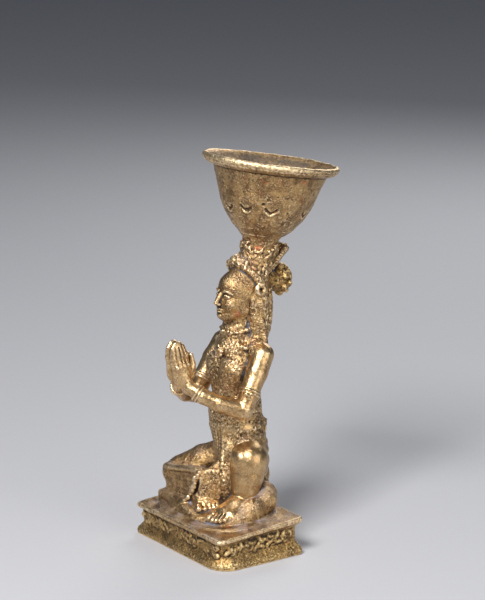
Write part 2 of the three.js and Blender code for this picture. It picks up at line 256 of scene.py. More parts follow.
def strand(piece, points, radius, count, blend=0.15):
    places = along(points, count)
    for one, two in zip(places, places[1:]):
        add(piece, rod(one, two, radius), blend)


def score(points, radius, count, blend=0.1):
    places = along(points, count)
    for one, two in zip(places, places[1:]):
        cut(rod(one, two, radius), blend)


def pebbles(piece, points, radius, count, seed, scatter=0.3, blend=0.12):
    # uneven pellets along a curve
    chance = np.random.RandomState(seed)
    for place in along(points, count):
        size = radius * chance.uniform(0.75, 1.2)
        moved = place + chance.uniform(-scatter, scatter, 3) * radius
        add(piece, egg(moved, size * chance.uniform(0.8, 1.2, 3)), blend)


def ringPoints(centre, radii, turn, start=0, end=360, count=12):
    matrix = turnMatrix(turn)
    angles = np.radians(np.linspace(start, end, count))
    flat = np.stack([radii[0] * np.cos(angles), radii[1] * np.sin(angles), angles * 0], axis=1)
    return np.array(centre) + flat @ matrix.T


# Meshing

def softMin(one, two, blend):
    if blend <= 0:
        return np.minimum(one, two)
    share = np.clip(0.5 + 0.5 * (one - two) / blend, 0, 1)
    return one + (two - one) * share - blend * share * (1 - share)


def gridAxes(low, high, step):
    first = np.floor(low / step).astype(int)
    count = np.ceil(high / step).astype(int) - first + 1
    return first, [((first[i] + np.arange(count[i])) * step).astype(np.float32) for i in range(3)]


def windowOf(stroke, axes, room):
    slices = []
    for i in range(3):
        start = np.searchsorted(axes[i], stroke["low"][i] - room)
        stop = np.searchsorted(axes[i], stroke["high"][i] + room)
        if stop <= start:
            return None
        slices.append(slice(start, stop))
    return tuple(slices)


def layStrokes(axes, piece=None):
    # the whole lamp's field, the piece's own field and everything else's, on one grid
    size = [len(axis) for axis in axes]
    field, own, other = (np.full(size, wax["farAway"], np.float32) for _ in range(3))
    for stroke in strokes:
        window = windowOf(stroke, axes, stroke["blend"] + wax["margin"])
        if window is None:
            continue
        x = axes[0][window[0]][:, None, None]
        y = axes[1][window[1]][None, :, None]
        z = axes[2][window[2]][None, None, :]
        distance = stroke["shape"](x, y, z)
        if stroke["cut"]:
            field[window] = -softMin(-field[window], distance, stroke["blend"])
            continue
        field[window] = softMin(field[window], distance, stroke["blend"])
        target = own if stroke["piece"] == piece else other
        target[window] = np.minimum(target[window], distance)
    return field, own, other


def largestIslands(points, faces, least=0.04):
    corner = faces.ravel()
    order = np.argsort(corner, kind="stable")
    starts = np.searchsorted(corner[order], np.arange(len(points)))
    faceOf = order // faces.shape[1]
    label = np.arange(len(points))
    while True:
        low = label[faces].min(axis=1)
        lowest = np.minimum(label, np.minimum.reduceat(low[faceOf], starts))
        lowest = lowest[lowest]
        if np.array_equal(lowest, label):
            break
        label = lowest
    names, counts = np.unique(label, return_counts=True)
    kept = names[counts >= least * len(points)]
    wanted = np.isin(label, kept)
    renumber = np.cumsum(wanted) - 1
    return points[wanted], renumber[faces[wanted[faces[:, 0]]]]


def normalsOf(points, faces):
    across = np.cross(points[faces[:, 2]] - points[faces[:, 0]],
                      points[faces[:, 3]] - points[faces[:, 1]])
    normals = np.stack([
        np.bincount(faces.ravel(), np.repeat(across[:, i], 4), len(points)) for i in range(3)
    ], axis=1)
    return normals / np.maximum(np.linalg.norm(normals, axis=1, keepdims=True), 1e-9)


def evenedOut(values, faces, rounds):
    # each vertex takes the mean of the corners of the faces round it, again and again
    corner = faces.ravel()
    count = np.bincount(corner, minlength=len(values))
    for _ in range(rounds):
        means = values[faces].mean(axis=1)
        values = np.stack([
            np.bincount(corner, np.repeat(means[:, i], 4),
                        len(values)) / count for i in range(values.shape[1])
        ], axis=1)
    return values


def noiseAt(points, size, seed):
    # smooth noise from -1 to 1, about one bump per size
    table = np.random.RandomState(seed).rand(32, 32, 32).astype(np.float32)
    place = points / size
    cell = np.floor(place).astype(int)
    part = place - cell
    part = part * part * (3 - 2 * part)
    total = 0
    for i in (0, 1):
        for j in (0, 1):
            for k in (0, 1):
                weight = ((part[:, 0] if i else 1 - part[:, 0]) * (part[:, 1] if j else 1 - part[:, 1])
                          * (part[:, 2] if k else 1 - part[:, 2]))
                total = total + weight * table[(cell[:, 0] + i) % 32, (cell[:, 1] + j) % 32,
                                               (cell[:, 2] + k) % 32]
    return 2 * total - 1


def ramp(values, low, high):
    t = np.clip((values - low) / (high - low), 0, 1)
    return t * t * (3 - 2 * t)


def surveyHollows():
    # how much metal stands round each place: the creases where dirt stays, and where shade is painted
    # into the colour
    low = np.array([-24, -20, -2.0])
    high = np.array([24, 40, 113.0])
    step = wax["surveyStep"]
    first, axes = gridAxes(low, high, step)
    field, _, _ = layStrokes(axes)
    filled = np.clip(0.5 - field / step, 0, 1)
    levels = []
    for reach in (wax["hollowReach"], wax["hollowReach"] * 2 + 1):
        blurred = filled
        for axis in (0, 1, 2) * 2:
            summed = np.cumsum(np.insert(blurred, 0, 0, axis=axis), axis=axis)
            count = blurred.shape[axis]
            lower = np.clip(np.arange(count) - reach // 2, 0, count)
            upper = np.clip(np.arange(count) + reach // 2 + 1, 0, count)
            blurred = (summed.take(upper, axis) - summed.take(lower, axis)) / reach
        levels.append(blurred)
    return first, step, levels


def sampled(survey, level, points):
    first, step, levels = survey
    grid = levels[level]
    place = points / step - first
    cell = np.clip(np.floor(place).astype(int), 0, np.array(grid.shape) - 2)
    part = np.clip(place - cell, 0, 1)
    total = 0
    for i in (0, 1):
        for j in (0, 1):
            for k in (0, 1):
                weight = ((part[:, 0] if i else 1 - part[:, 0]) * (part[:, 1] if j else 1 - part[:, 1])
                          * (part[:, 2] if k else 1 - part[:, 2]))
                total = total + weight * grid[cell[:, 0] + i, cell[:, 1] + j, cell[:, 2] + k]
    return total


# How rough the cast skin is, in mm: slow waves of the wax, fine grain of the mould, and pits.
skins = {
    "smooth": {"wave": 0.06, "grain": 0.03, "pit": 0.07, "pitShare": 0.15},
    "cast": {"wave": 0.08, "grain": 0.06, "pit": 0.11, "pitShare": 0.28},
    "rough": {"wave": 0.1, "grain": 0.11, "pit": 0.16, "pitShare": 0.36},
}


def roughened(points, normals, skin):
    values = skins[skin]
    wave = noiseAt(points, 2.6, 3) * values["wave"] + noiseAt(points, 9.0, 4) * 0.12
    grain = noiseAt(points, 0.5, 5) * values["grain"] + noiseAt(points, 0.85, 6) * values["grain"] * 0.8
    limit = 1 - values["pitShare"]
    pits = ramp(noiseAt(points, 0.6, 8) * 0.5 + noiseAt(points, 2.1, 9) * 0.6, limit - 0.3, limit + 0.2)
    return points + normals * (wave + grain - pits * values["pit"])[:, None]


def cast(node, material, voxel=None, skin="cast", touch=0.4, soot=None, dusty=0.35):
    # touch is how much hands have rubbed the piece, from 0 to 1; soot says where the lamp's smoke has
    # blackened it
    castings.append({"name": node + "_cast", "node": node, "slot": slots[material.name],
                     "material": material, "soot": soot,
                     "voxel": voxel or wax["voxel"], "skin": skin, "touch": touch, "dusty": dusty})


def pourPiece(casting, survey):
    step = casting["voxel"]
    own = [s for s in strokes if s["piece"] == casting["name"]]
    low = np.min([s["low"] for s in own], axis=0) - wax["margin"]
    high = np.max([s["high"] for s in own], axis=0) + wax["margin"]
    first, axes = gridAxes(low, high, step)
    field, mine, other = layStrokes(axes, casting["name"])
    body = np.maximum(field, (mine - other) / 2 - wax["overlap"])
    grid = openvdb.FloatGrid(wax["farAway"])
    grid.copyFromArray(body)
    points, faces = grid.convertToQuads(isovalue=0)
    points, faces = largestIslands((points + first) * step, faces.astype(int))
    points = points.astype(float)
    normals = normalsOf(points, faces)
    points = roughened(points, normals, casting["skin"])
    points[:, 2] = np.maximum(points[:, 2], 0)
    normals = normalsOf(points, faces)
    even = evenedOut(points, faces, 5)
    relief = ((points - even) * normals).sum(axis=1)
    wide = sampled(survey, 1, points + normals * 0.8)
    near = sampled(survey, 0, points + normals * 0.3)
    mesh = bpy.data.meshes.new(casting["name"])
    mesh.vertices.add(len(points))
    mesh.vertices.foreach_set("co", (points * 0.001 + np.array(lampMiddle)).astype(np.float32).ravel())
    mesh.loops.add(faces.size)
    mesh.loops.foreach_set("vertex_index", faces.astype(np.int32).ravel())
    mesh.polygons.add(len(faces))
    mesh.polygons.foreach_set("loop_start", np.arange(0, faces.size, 4, dtype=np.int32))
    mesh.update(calc_edges=True)
    mesh.validate()
    mesh.shade_smooth()
    masks = {
        # how closely metal stands round a place; it lays patina, dust and painted shade into the hollows
        "creaseDirtAndShade": np.clip(ramp(near, 0.38, 0.66) * 0.6 + ramp(wide, 0.32, 0.62) * 0.7, 0, 1),
        "relief": np.clip(0.5 + relief / 0.16, 0, 1),
        "touch": np.clip(ramp(near, 0.44, 0.12) * (0.4 + casting["touch"]) + casting["touch"] * 0.4, 0,
                         1),
        "soot": casting["soot"](points) if casting["soot"] else np.zeros(len(points)),
        "dusty": np.full(len(points), casting["dusty"]),
        "redness": np.max([ramp(np.linalg.norm(points - place, axis=1), reach, reach * 0.3)
                           for place, reach in redPatches], axis=0),
    }
    for mask, values in masks.items():
        layer = mesh.attributes.new(mask, "FLOAT", "POINT")
        layer.data.foreach_set("value", values.astype(np.float32))
    piece = bpy.data.objects.new(casting["name"], mesh)
    bpy.context.collection.objects.link(piece)
    mesh.materials.append(casting["material"])
    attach(piece, "root")
    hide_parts(casting["node"])
    return len(faces)


# Brass

def newGroup(name, inputs, outputs):
    group = bpy.data.node_groups.new(name, "ShaderNodeTree")
    for socketName, kind, value in inputs:
        socket = group.interface.new_socket(name=socketName, in_out="INPUT",
                                            socket_type="NodeSocket" + kind)
        socket.default_value = value
    for socketName, kind in outputs:
        group.interface.new_socket(name=socketName, in_out="OUTPUT", socket_type="NodeSocket" + kind)
    return group, group.nodes.new("NodeGroupInput"), group.nodes.new("NodeGroupOutput")


def node(tree, kind, links=(), **settings):
    made = tree.nodes.new("ShaderNode" + kind)
    for key, value in settings.items():
        setattr(made, key, value)
    for socket, value in dict(links).items():
        if isinstance(value, bpy.types.NodeSocket):
            tree.links.new(value, made.inputs[socket])
        else:
            made.inputs[socket].default_value = value
    return made


def sums(tree, operation, one, two=0.0, three=0.0):
    return node(tree, "Math", {0: one, 1: two, 2: three}, operation=operation).outputs[0]


def mapped(tree, value, low, high, toLow=0.0, toHigh=1.0):
    links = {"Value": value, "From Min": low, "From Max": high, "To Min": toLow, "To Max": toHigh}
    return node(tree, "MapRange", links, interpolation_type="SMOOTHSTEP").outputs["Result"]


def mixed(tree, factor, one, two):
    made = node(tree, "Mix", {0: factor, 6: one, 7: two}, data_type="RGBA")
    return made.outputs[2]


def speckle(tree, place, scale, detail=3.0, roughness=0.6):
    links = {"Vector": place, "Scale": scale, "Detail": detail, "Roughness": roughness}
    return node(tree, "TexNoise", links).outputs["Fac"]


def makeGrainGroup():
    # fine cast grain and pinholes, below what the meshes carry
    group, given, result = newGroup("castGrain",
                                    [("Place", "Vector", (0, 0, 0)), ("Size", "Float", 0.35)],
                                    [("Grain", "Float"), ("Pinholes", "Float"), ("Height", "Float")])
    finest = sums(group, "DIVIDE", 1000.0, given.outputs["Size"])
    grain = speckle(group, given.outputs["Place"], finest, 2.0, 0.6)
    links = {"Vector": given.outputs["Place"], "Scale": sums(group, "MULTIPLY", finest, 0.8)}
    cells = node(group, "TexVoronoi", links).outputs["Distance"]
    patchy = speckle(group, given.outputs["Place"], sums(group, "MULTIPLY", finest, 0.25), 3.0)
    holes = sums(group, "MULTIPLY", mapped(group, cells, 0.35, 0.08), mapped(group, patchy, 0.48, 0.6))
    height = sums(group, "SUBTRACT", grain, holes)
    group.links.new(grain, result.inputs["Grain"])
    group.links.new(holes, result.inputs["Pinholes"])
    group.links.new(height, result.inputs["Height"])
    return group


def makePatinaGroup():
    # where patina lies: brown in pits and lines, near black or dusty blue in the deep creases; in the
    # creases this is painted shade as well as patina
    group, given, result = newGroup(
        "patinaMask",
        [("Place", "Vector", (0, 0, 0)), ("CreaseDirtAndShade", "Float", 0.0), ("Relief", "Float", 0.5),
         ("Pinholes", "Float", 0.0), ("Amount", "Float", 0.5)],
        [("Patina", "Float"), ("DeepShadeAndPatina", "Float"), ("Rubbed", "Float"), ("Blotches", "Float")])
    blotches = speckle(group, given.outputs["Place"], 330.0, 6.0, 0.68)
    low = mapped(group, given.outputs["Relief"], 0.5, 0.15)
    # the crease share of the stain is painted shade as well as patina
    stain = sums(group, "ADD", sums(group, "MULTIPLY", given.outputs["CreaseDirtAndShade"], 0.6),
                 sums(group, "MULTIPLY", low, 0.5))
    stain = sums(group, "ADD", stain, sums(group, "MULTIPLY", given.outputs["Pinholes"], 0.35))
    broken = sums(group, "MULTIPLY", stain, mapped(group, blotches, 0.3, 0.62, 0.5, 1.3))
    patina = sums(group, "MULTIPLY", broken, sums(group, "MULTIPLY", given.outputs["Amount"], 2.0))
    # painted shade with patina: darkest where metal closes round a place
    deepShadeAndPatina = sums(group, "MULTIPLY", given.outputs["CreaseDirtAndShade"], mapped(group, blotches, 0.42, 0.6, 0.35, 1.2))
    group.links.new(mapped(group, patina, 0.1, 0.95), result.inputs["Patina"])
    group.links.new(mapped(group, deepShadeAndPatina, 0.35, 0.95), result.inputs["DeepShadeAndPatina"])
    group.links.new(mapped(group, given.outputs["Relief"], 0.55, 0.95), result.inputs["Rubbed"])
    group.links.new(blotches, result.inputs["Blotches"])
    return group


def makeDustGroup():
    # pale dust lying on faces that look up, most of all in sheltered places
    group, given, result = newGroup(
        "dustMask", [("Place", "Vector", (0, 0, 0)), ("CreaseDirtAndShade", "Float", 0.0), ("Amount", "Float", 0.3)],
        [("Dust", "Float")])
    facing = node(group, "NewGeometry").outputs["Normal"]
    up = mapped(group, node(group, "SeparateXYZ", {0: facing}).outputs["Z"], 0.2, 0.95)
    film = mapped(group, speckle(group, given.outputs["Place"], 190.0, 6.0, 0.7), 0.38, 0.7)
    sheltered = sums(group, "ADD", 0.45, given.outputs["CreaseDirtAndShade"])
    dust = sums(group, "MULTIPLY", sums(group, "MULTIPLY", up, film),
                sums(group, "MULTIPLY", sheltered, given.outputs["Amount"]))
    group.links.new(node(group, "Clamp", {0: dust}).outputs[0], result.inputs["Dust"])
    return group


grainGroup = makeGrainGroup()
patinaGroup = makePatinaGroup()
dustGroup = makeDustGroup()

# the near-black bluish colours laid into the creases are painted shade as well as patina
brasses = {
    "aged": {"body": (0.5, 0.31, 0.125, 1), "brown": (0.22, 0.12, 0.05, 1),
             "bright": (0.94, 0.72, 0.43, 1),
             "patina": (0.06, 0.038, 0.02, 1), "deepShadeAndPatina": (0.055, 0.06, 0.075, 1),
             "copper": (0.5, 0.15, 0.06, 1),
             "copperShare": 0.12, "patinaAmount": 0.75, "dust": 1.3, "grainSize": 0.4, "bump": 1.0,
             "gloss": 0.3},
    "worn": {"body": (0.6, 0.395, 0.185, 1), "brown": (0.42, 0.25, 0.105, 1),
             "bright": (0.95, 0.74, 0.47, 1),
             "patina": (0.07, 0.042, 0.02, 1), "deepShadeAndPatina": (0.04, 0.037, 0.038, 1),
             "copper": (0.5, 0.18, 0.07, 1),
             "copperShare": 0.06, "patinaAmount": 0.5, "dust": 0.3, "grainSize": 0.4, "bump": 0.3,
             "gloss": 0.26},
    "dark": {"body": (0.45, 0.27, 0.09, 1), "brown": (0.17, 0.095, 0.035, 1),
             "bright": (0.92, 0.68, 0.34, 1),
             "patina": (0.05, 0.032, 0.017, 1), "deepShadeAndPatina": (0.04, 0.043, 0.05, 1),
             "copper": (0.4, 0.15, 0.06, 1),
             "copperShare": 0.1, "patinaAmount": 0.85, "dust": 0.3, "grainSize": 0.4, "bump": 1.0,
             "gloss": 0.32},
}


grimeAndShade = {
    "siltAndShade": (0.2, 0.19, 0.22, 1),     # what settles in the hollows of a dusty piece, and painted shade in those hollows
    "soot": (0.07, 0.06, 0.05, 1),    # from the flame, inside the bowl
    "dust": (0.38, 0.34, 0.36, 1),    # pale, on what faces up
}


def makeBrass(name, values):
    material = bpy.data.materials.new(name)
    material.use_nodes = True
    tree = material.node_tree
    shader = tree.nodes["Principled BSDF"]
    place = node(tree, "TexCoord").outputs["Object"]
    creaseDirtAndShade, relief, touch, soot, dusty, redness = (
        node(tree, "Attribute", attribute_name=mask).outputs["Fac"]
        for mask in ("creaseDirtAndShade", "relief", "touch", "soot", "dusty", "redness"))
    grain = node(tree, "Group", node_tree=grainGroup)
    tree.links.new(place, grain.inputs["Place"])
    grain.inputs["Size"].default_value = values["grainSize"]
    patina = node(tree, "Group", node_tree=patinaGroup)
    for socket, value in (("Place", place), ("CreaseDirtAndShade", creaseDirtAndShade), ("Relief", relief),
                          ("Pinholes", grain.outputs["Pinholes"])):
        tree.links.new(value, patina.inputs[socket])
    patina.inputs["Amount"].default_value = values["patinaAmount"]
    dust = node(tree, "Group", node_tree=dustGroup)
    tree.links.new(place, dust.inputs["Place"])
    tree.links.new(creaseDirtAndShade, dust.inputs["CreaseDirtAndShade"])
    tree.links.new(sums(tree, "MULTIPLY", dusty, values["dust"]), dust.inputs["Amount"])

    colour = mixed(tree, mapped(tree, patina.outputs["Blotches"], 0.4, 0.6), values["brown"],
                   values["body"])
    coppery = speckle(tree, place, 420.0, 3.0)
    coppery = sums(tree, "MULTIPLY_ADD", redness, 0.22, coppery)
    edge = 0.74 - values["copperShare"]
    colour = mixed(tree, mapped(tree, coppery, edge, edge + 0.08, 0.0, 0.7), colour, values["copper"])
    handled = sums(tree, "MULTIPLY", touch, mapped(tree, grain.outputs["Grain"], 0.46, 0.64, 0.0, 0.8))
    rubbed = sums(tree, "MULTIPLY_ADD", patina.outputs["Rubbed"], mapped(tree, touch, 0.0, 0.9, 0.3, 1.0),
                  handled)
    colour = mixed(tree, sums(tree, "MINIMUM", rubbed, 1.0), colour, values["bright"])
    colour = mixed(tree, patina.outputs["Patina"], colour, values["patina"])
    # the crease colour, near black or dusty silt: painted shade in the hollows as well as patina and silt
    siltAndShade = mixed(tree, dusty, values["deepShadeAndPatina"], grimeAndShade["siltAndShade"])
    colour = mixed(tree, patina.outputs["DeepShadeAndPatina"], colour, siltAndShade)
    colour = mixed(tree, sums(tree, "MULTIPLY", soot, 0.85), colour, grimeAndShade["soot"])
    colour = mixed(tree, dust.outputs["Dust"], colour, grimeAndShade["dust"])
    tree.links.new(colour, shader.inputs["Base Color"])

    # dust, soot, patina and the painted shade in the creases make the metal duller and less metallic
    dirtAndShade = sums(tree, "MAXIMUM", patina.outputs["DeepShadeAndPatina"], dust.outputs["Dust"])
    dirtAndShade = sums(tree, "MAXIMUM", dirtAndShade, sums(tree, "MULTIPLY", soot, 0.7))
    dirtAndShade = sums(tree, "MAXIMUM", dirtAndShade, sums(tree, "MULTIPLY", patina.outputs["Patina"], 0.5))
    tree.links.new(sums(tree, "SUBTRACT", 1.0, dirtAndShade), shader.inputs["Metallic"])
    roughness = sums(tree, "MULTIPLY_ADD", dirtAndShade, 0.35, values["gloss"])
    roughness = sums(tree, "MULTIPLY_ADD", grain.outputs["Grain"], 0.16, roughness)
    tree.links.new(roughness, shader.inputs["Roughness"])
    bump = node(tree, "Bump",
                {"Height": grain.outputs["Height"], "Strength": values["bump"], "Distance": 0.00025})
    tree.links.new(bump.outputs["Normal"], shader.inputs["Normal"])
    return material


agedBrass = makeBrass("agedBrass", brasses["aged"])
wornBrass = makeBrass("wornBrass", brasses["worn"])
darkBrass = makeBrass("darkBrass", brasses["dark"])


# Plinth

plinth = {
    "halfWidth": 21.0,
    "halfDepth": 14.1,
    "height": 10.0,
    "fall": 0.065,        # the top falls towards the front
    "hollow": (17.4, 10.4),
    "topShare": 0.79,
    "topCorner": 1.2,
    "footCorner": 1.6,
    "wornCorner": (2.0, 6.0),    # the front left corner, at the top and the foot
    "waist": 1.35,
    "leavesPerMm": 1.5,
    "leafSize": (0.5, 1.2),
    "leafSink": -0.2,
}
plinthShares = [-0.5, 0, 0.04, 0.12, 0.18, 0.34, 0.4, 0.74, 0.8, 0.875, 0.9, 0.955, 1.0, 1.5]
plinthInsets = [0.15, 0.1, -0.1, -0.15, 0.0, 1.1, 1.35, 1.35, 1.1, 0.12, 0.0, 0.0, 0.35, 0.35]


def plinthTop(y):
    return plinth["height"] + plinth["fall"] * y


def plinthSolid(x, y, z):
    share = z / plinthTop(y)
    inset = np.interp(share, plinthShares, plinthInsets).astype(np.float32)
    drop = np.clip((0.85 - share) / 0.65, 0, 1)
    corner = plinth["topCorner"] + (plinth["footCorner"] - plinth["topCorner"]) * drop
    top, foot = plinth["wornCorner"]
    corner = np.where((x > 0) & (y < 0), top + (foot - top) * drop, corner)
    qx = np.abs(x) - plinth["halfWidth"] + inset + corner
    qy = np.abs(y) - plinth["halfDepth"] + inset + corner
    side = np.hypot(np.maximum(qx, 0), np.maximum(qy, 0)) + np.minimum(np.maximum(qx, qy), 0) - corner
    return np.maximum(np.maximum(side, z - plinthTop(y)), -z)


def plinthPart(side):
    ends = plinth["halfWidth"] - plinth["halfDepth"]
    regions = {
        "front": lambda x, y: (np.abs(x) - ends + y) / math.sqrt(2),
        "back": lambda x, y: (np.abs(x) - ends - y) / math.sqrt(2),
        "left": lambda x, y: (np.abs(y) + ends - x) / math.sqrt(2),
        "right": lambda x, y: (np.abs(y) + ends + x) / math.sqrt(2),
    }

    def shape(x, y, z):
        seam = z - plinth["topShare"] * plinthTop(y)
        if side == "top":
            return np.maximum(plinthSolid(x, y, z), -seam - 0.15)
        return np.maximum(plinthSolid(x, y, z), np.maximum(seam, regions[side](x, y)) - 0.15)

    lows = {"front": (-21, -14, 0), "back": (-21, 6, 0), "left": (9, -14, 0), "right": (-21, -14, 0),
            "top": (-21, -14, 6.5)}
    highs = {"front": (21, -6, 9), "back": (21, 14, 9.5), "left": (21, 14, 9.5), "right": (-9, 14, 9.5),
             "top": (21, 14, 11)}
    return shape, np.array(lows[side], float), np.array(highs[side], float)


def plinthHollow(x, y, z):
    qx = np.abs(x) - plinth["hollow"][0]
    qy = np.abs(y) - plinth["hollow"][1]
    return np.maximum(np.maximum(qx, qy), z - plinth["topShare"] * plinthTop(y))


def layFrieze(side, length, place):
    # a worn frieze of leafy strokes
    name = "plinth_wall_" + side + "_cast"
    chance = np.random.RandomState(len(side) + 11)
    low, high = plinth["leafSize"]
    for _ in range(round(length * plinth["leavesPerMm"])):
        middle = chance.uniform(-0.5, 0.5) * length
        level = chance.uniform(0.43, 0.69)
        angle = math.radians(chance.choice((35, 145)) + chance.uniform(-30, 40))
        bend = chance.uniform(-0.6, 0.6)
        size = chance.uniform(low, high)
        leaf = []
        for t in (-1, 0, 1):
            u = size * (t * math.cos(angle) + bend * t * t * math.sin(angle))
            rise = size * (t * math.sin(angle) - bend * t * t * math.cos(angle))
            leaf.append(place(middle + u, level + 0.1 * rise, plinth["leafSink"]))
        strand(name, leaf, chance.uniform(0.3, 0.5), 5, 0.4)


def sculptPlinth():
    for side in ("front", "back", "left", "right"):
        add("plinth_wall_" + side + "_cast", plinthPart(side), 0)
    add("plinth_top_cast", plinthPart("top"), 0)
    cut((plinthHollow, np.array([-18.0, -11, -1]), np.array([18.0, 11, 9.0])), 0.6)
    surface = plinth["halfDepth"] - plinth["waist"]
    ends = plinth["halfWidth"] - plinth["waist"]
    length = 2 * (plinth["halfWidth"] - 2.6)
    depth = 2 * (plinth["halfDepth"] - 2.6)
    layFrieze("front", length, lambda u, s, out: (u - 0.6, -surface - out, s * plinthTop(-surface)))
    layFrieze("back", length, lambda u, s, out: (u, surface + out, s * plinthTop(surface)))
    layFrieze("left", depth, lambda u, s, out: (ends + out, u + 0.6, s * plinthTop(u)))
    layFrieze("right", depth, lambda u, s, out: (-ends - out, u, s * plinthTop(u)))
    for chip in ((1.6, -14.4, 9.3, 1.2, 0.5), (-9, -14.3, 9.3, 0.9, 0.4), (21.4, -3, 9.9, 0.4, 1.0)):
        cut(egg(chip[:3], (chip[3], chip[4], 0.6)), 0.3)
    for side in ("front", "left", "back", "right"):
        cast("plinth_wall_" + side, darkBrass, skin="cast", touch=0.4)
    cast("plinth_top", agedBrass, skin="smooth", touch=0.35, dusty=1.0)


# Seat

seat = {
    "matHalf": (18.6, 12.9),
    "matHigh": 0.8,
    "cushionHalf": (16.6, 11.4),
    "cushionHigh": 3.2,
    "squareness": 2.6,
    "fall": 0.6,          # share of the plinth's slope that the cushion follows
    "roll": [(-14.0, -4.0, 13.2, 2.2), (-14.2, 2.0, 14.2, 2.8), (-12.8, 7.4, 14.8, 3.0),
             (-6.0, 9.6, 15.0, 3.0),
             (2.0, 10.0, 15.0, 3.0), (9.0, 9.4, 15.2, 3.1), (13.0, 6.6, 15.2, 3.1),
             (14.0, 1.4, 13.6, 2.6),
             (13.4, -3.0, 12.2, 1.8)],
}


def tier(halfWidth, halfDepth, low, high, roll, share):
    # a rounded slab on the plinth's sloping top, with an edge rolled to the given radius
    power = seat["squareness"]

    def shape(x, y, z):
        level = z - plinthTop(y * share)
        around = (np.abs(x / halfWidth) ** power + np.abs(y / halfDepth) ** power) ** (1 / power)
        edge = (around - 1) * halfDepth * np.where(np.abs(x) > np.abs(y), 1.15, 1.0) + roll
        rise = np.maximum(level - high, low - level) + roll
        return np.hypot(np.maximum(edge, 0), np.maximum(rise, 0)) + np.minimum(np.maximum(edge, rise),
                                                                               0) - roll

    return (shape, np.array([-halfWidth, -halfDepth, 9 + low]),
            np.array([halfWidth, halfDepth, 11.2 + high]))


def sculptSeat():
    add("seat_mat_cast", tier(*seat["matHalf"], -0.8, seat["matHigh"], 0.4, 1.0), 1.6)
    add("seat_cushion_cast", tier(*seat["cushionHalf"], 0.3, seat["cushionHigh"], 1.4, seat["fall"]), 1.8)
    limb("seat_cushion_cast", seat["roll"], 1.2, 1.5)
    add("seat_cushion_cast", board((-12.2, -4.9, 11.2), (5.3, 4.3, 2.1), 1.1, (3.7, 0, 0)), 0.9)
    add("seat_cushion_cast", rod((-13.6, -7.4, 12.6), (-3.0, -8.4, 12.4), 1.6, 1.4), 1.4)
    # the cushion is trodden down where the left foot stands
    cut(egg((9.4, -13.6, 15.4), (9.0, 8.4, 4.4)), 2.4)
    cast("seat_mat", agedBrass, skin="smooth", touch=0.2, dusty=1.0)
    cast("seat_cushion", agedBrass, skin="cast", touch=0.25, dusty=0.7)


# Legs and wrapped cloth

leftLeg = {
    "thigh": [(5.2, 8.4, 23.0, 4.0), (7.6, 6.2, 25.2, 4.6), (9.8, 3.7, 26.4, 5.05)],
    "shin": [(9.8, 3.2, 25.0, 4.8), (10.0, 2.8, 21.8, 4.5), (10.0, 2.2, 18.3, 3.9),
             (10.0, 2.0, 16.2, 3.4),
             (10.0, 2.6, 13.6, 3.0)],
    "kneecap": ((10.0, -0.4, 27.4), (2.3, 1.3, 2.3)),
    "anklet": ((10.0, 2.2, 15.6), (3.3, 3.4), 0.34),
}
rightLeg = {
    "thigh": [(-3.6, 6.6, 23.8, 5.3), (-9.0, 1.6, 21.6, 4.7), (-14.2, -3.0, 18.7, 3.9)],
    "knee": [(-13.6, -4.2, 17.2, 3.9), (-13.2, -4.8, 12.6, 3.2)],
    "kneecap": ((-14.2, -5.7, 18.5), (3.0, 3.0, 2.6)),
    "drape": ((-6.6, -4.8, 16.8), (7.6, 2.6, 4.5), -11.0),    # middle, half sizes, tilt of the lap's edge
    "edge": [(-17.2, -4.8, 18.7), (-16.0, -6.9, 19.6), (-12.6, -8.0, 20.6), (-8.6, -8.1, 21.3),
             (-4.6, -7.9, 22.1),
             (-0.4, -7.8, 22.8), (1.6, -7.4, 23.1)],
    "pleats": 27,
    "pleatFoot": 12.6,
}


def sculptFoot(name, heel, ball, toes, inward, size, spread):
    # heel, ball and toes lie along the foot; inward says on which side the big toe is
    heel, ball, toes = (np.array(p, dtype=float) for p in (heel, ball, toes))
    forward = (toes - ball) / np.linalg.norm(toes - ball)
    across = np.cross([0, 0, 1], forward) * inward
    across /= np.linalg.norm(across)
    instep = heel * 0.45 + ball * 0.55 + [0, 0, 0.9 * size]
    limb(name, [(*heel, 2.4 * size), (*instep, 2.6 * size), (*ball, 2.0 * size)], 0.8, 1.4)
    add(name, rod(instep - across * spread, ball - across * 1.8 * spread, 1.8 * size, 1.4 * size), 1.4)
    add(name, rod(instep + across * spread, ball + across * 1.5 * spread, 1.8 * size, 1.5 * size), 1.4)
    add(name, rod(ball + across * 1.5 * spread, ball - across * 1.6 * spread - [0, 0, 0.3], 1.4 * size,
                  1.2 * size), 1.2)
    for i in range(5):
        side = across * (2.0 - (0, 1.2, 2.15, 3.05, 3.85)[i]) * spread
        length = (1.0, 1.06, 0.98, 0.86, 0.68)[i]
        radius = (1.05, 0.82, 0.78, 0.72, 0.68)[i] * size
        start = ball + side - [0, 0, 0.2]
        knuckle = ball + side * 1.03 + (toes - ball) * length * 0.6 + [0, 0, 0.3 * size]
        end = ball + side * 1.05 + (toes - ball) * length
        add(name, rod(start, knuckle, radius * 1.02, radius), 0.35)
        add(name, rod(knuckle, end, radius, radius * 0.92), 0.2)
        if i:
            gap = side + across * (0.5 if i > 1 else 0.62) * spread
            score([ball + gap + [0, 0, 1.1 * size],
                   ball + gap * 1.03 + (toes - ball) * 0.6 + [0, 0, 0.9 * size],
                   ball + gap * 1.05 + (toes - ball) * 1.0 + [0, 0, 0.2]], 0.18, 6, 0.2)


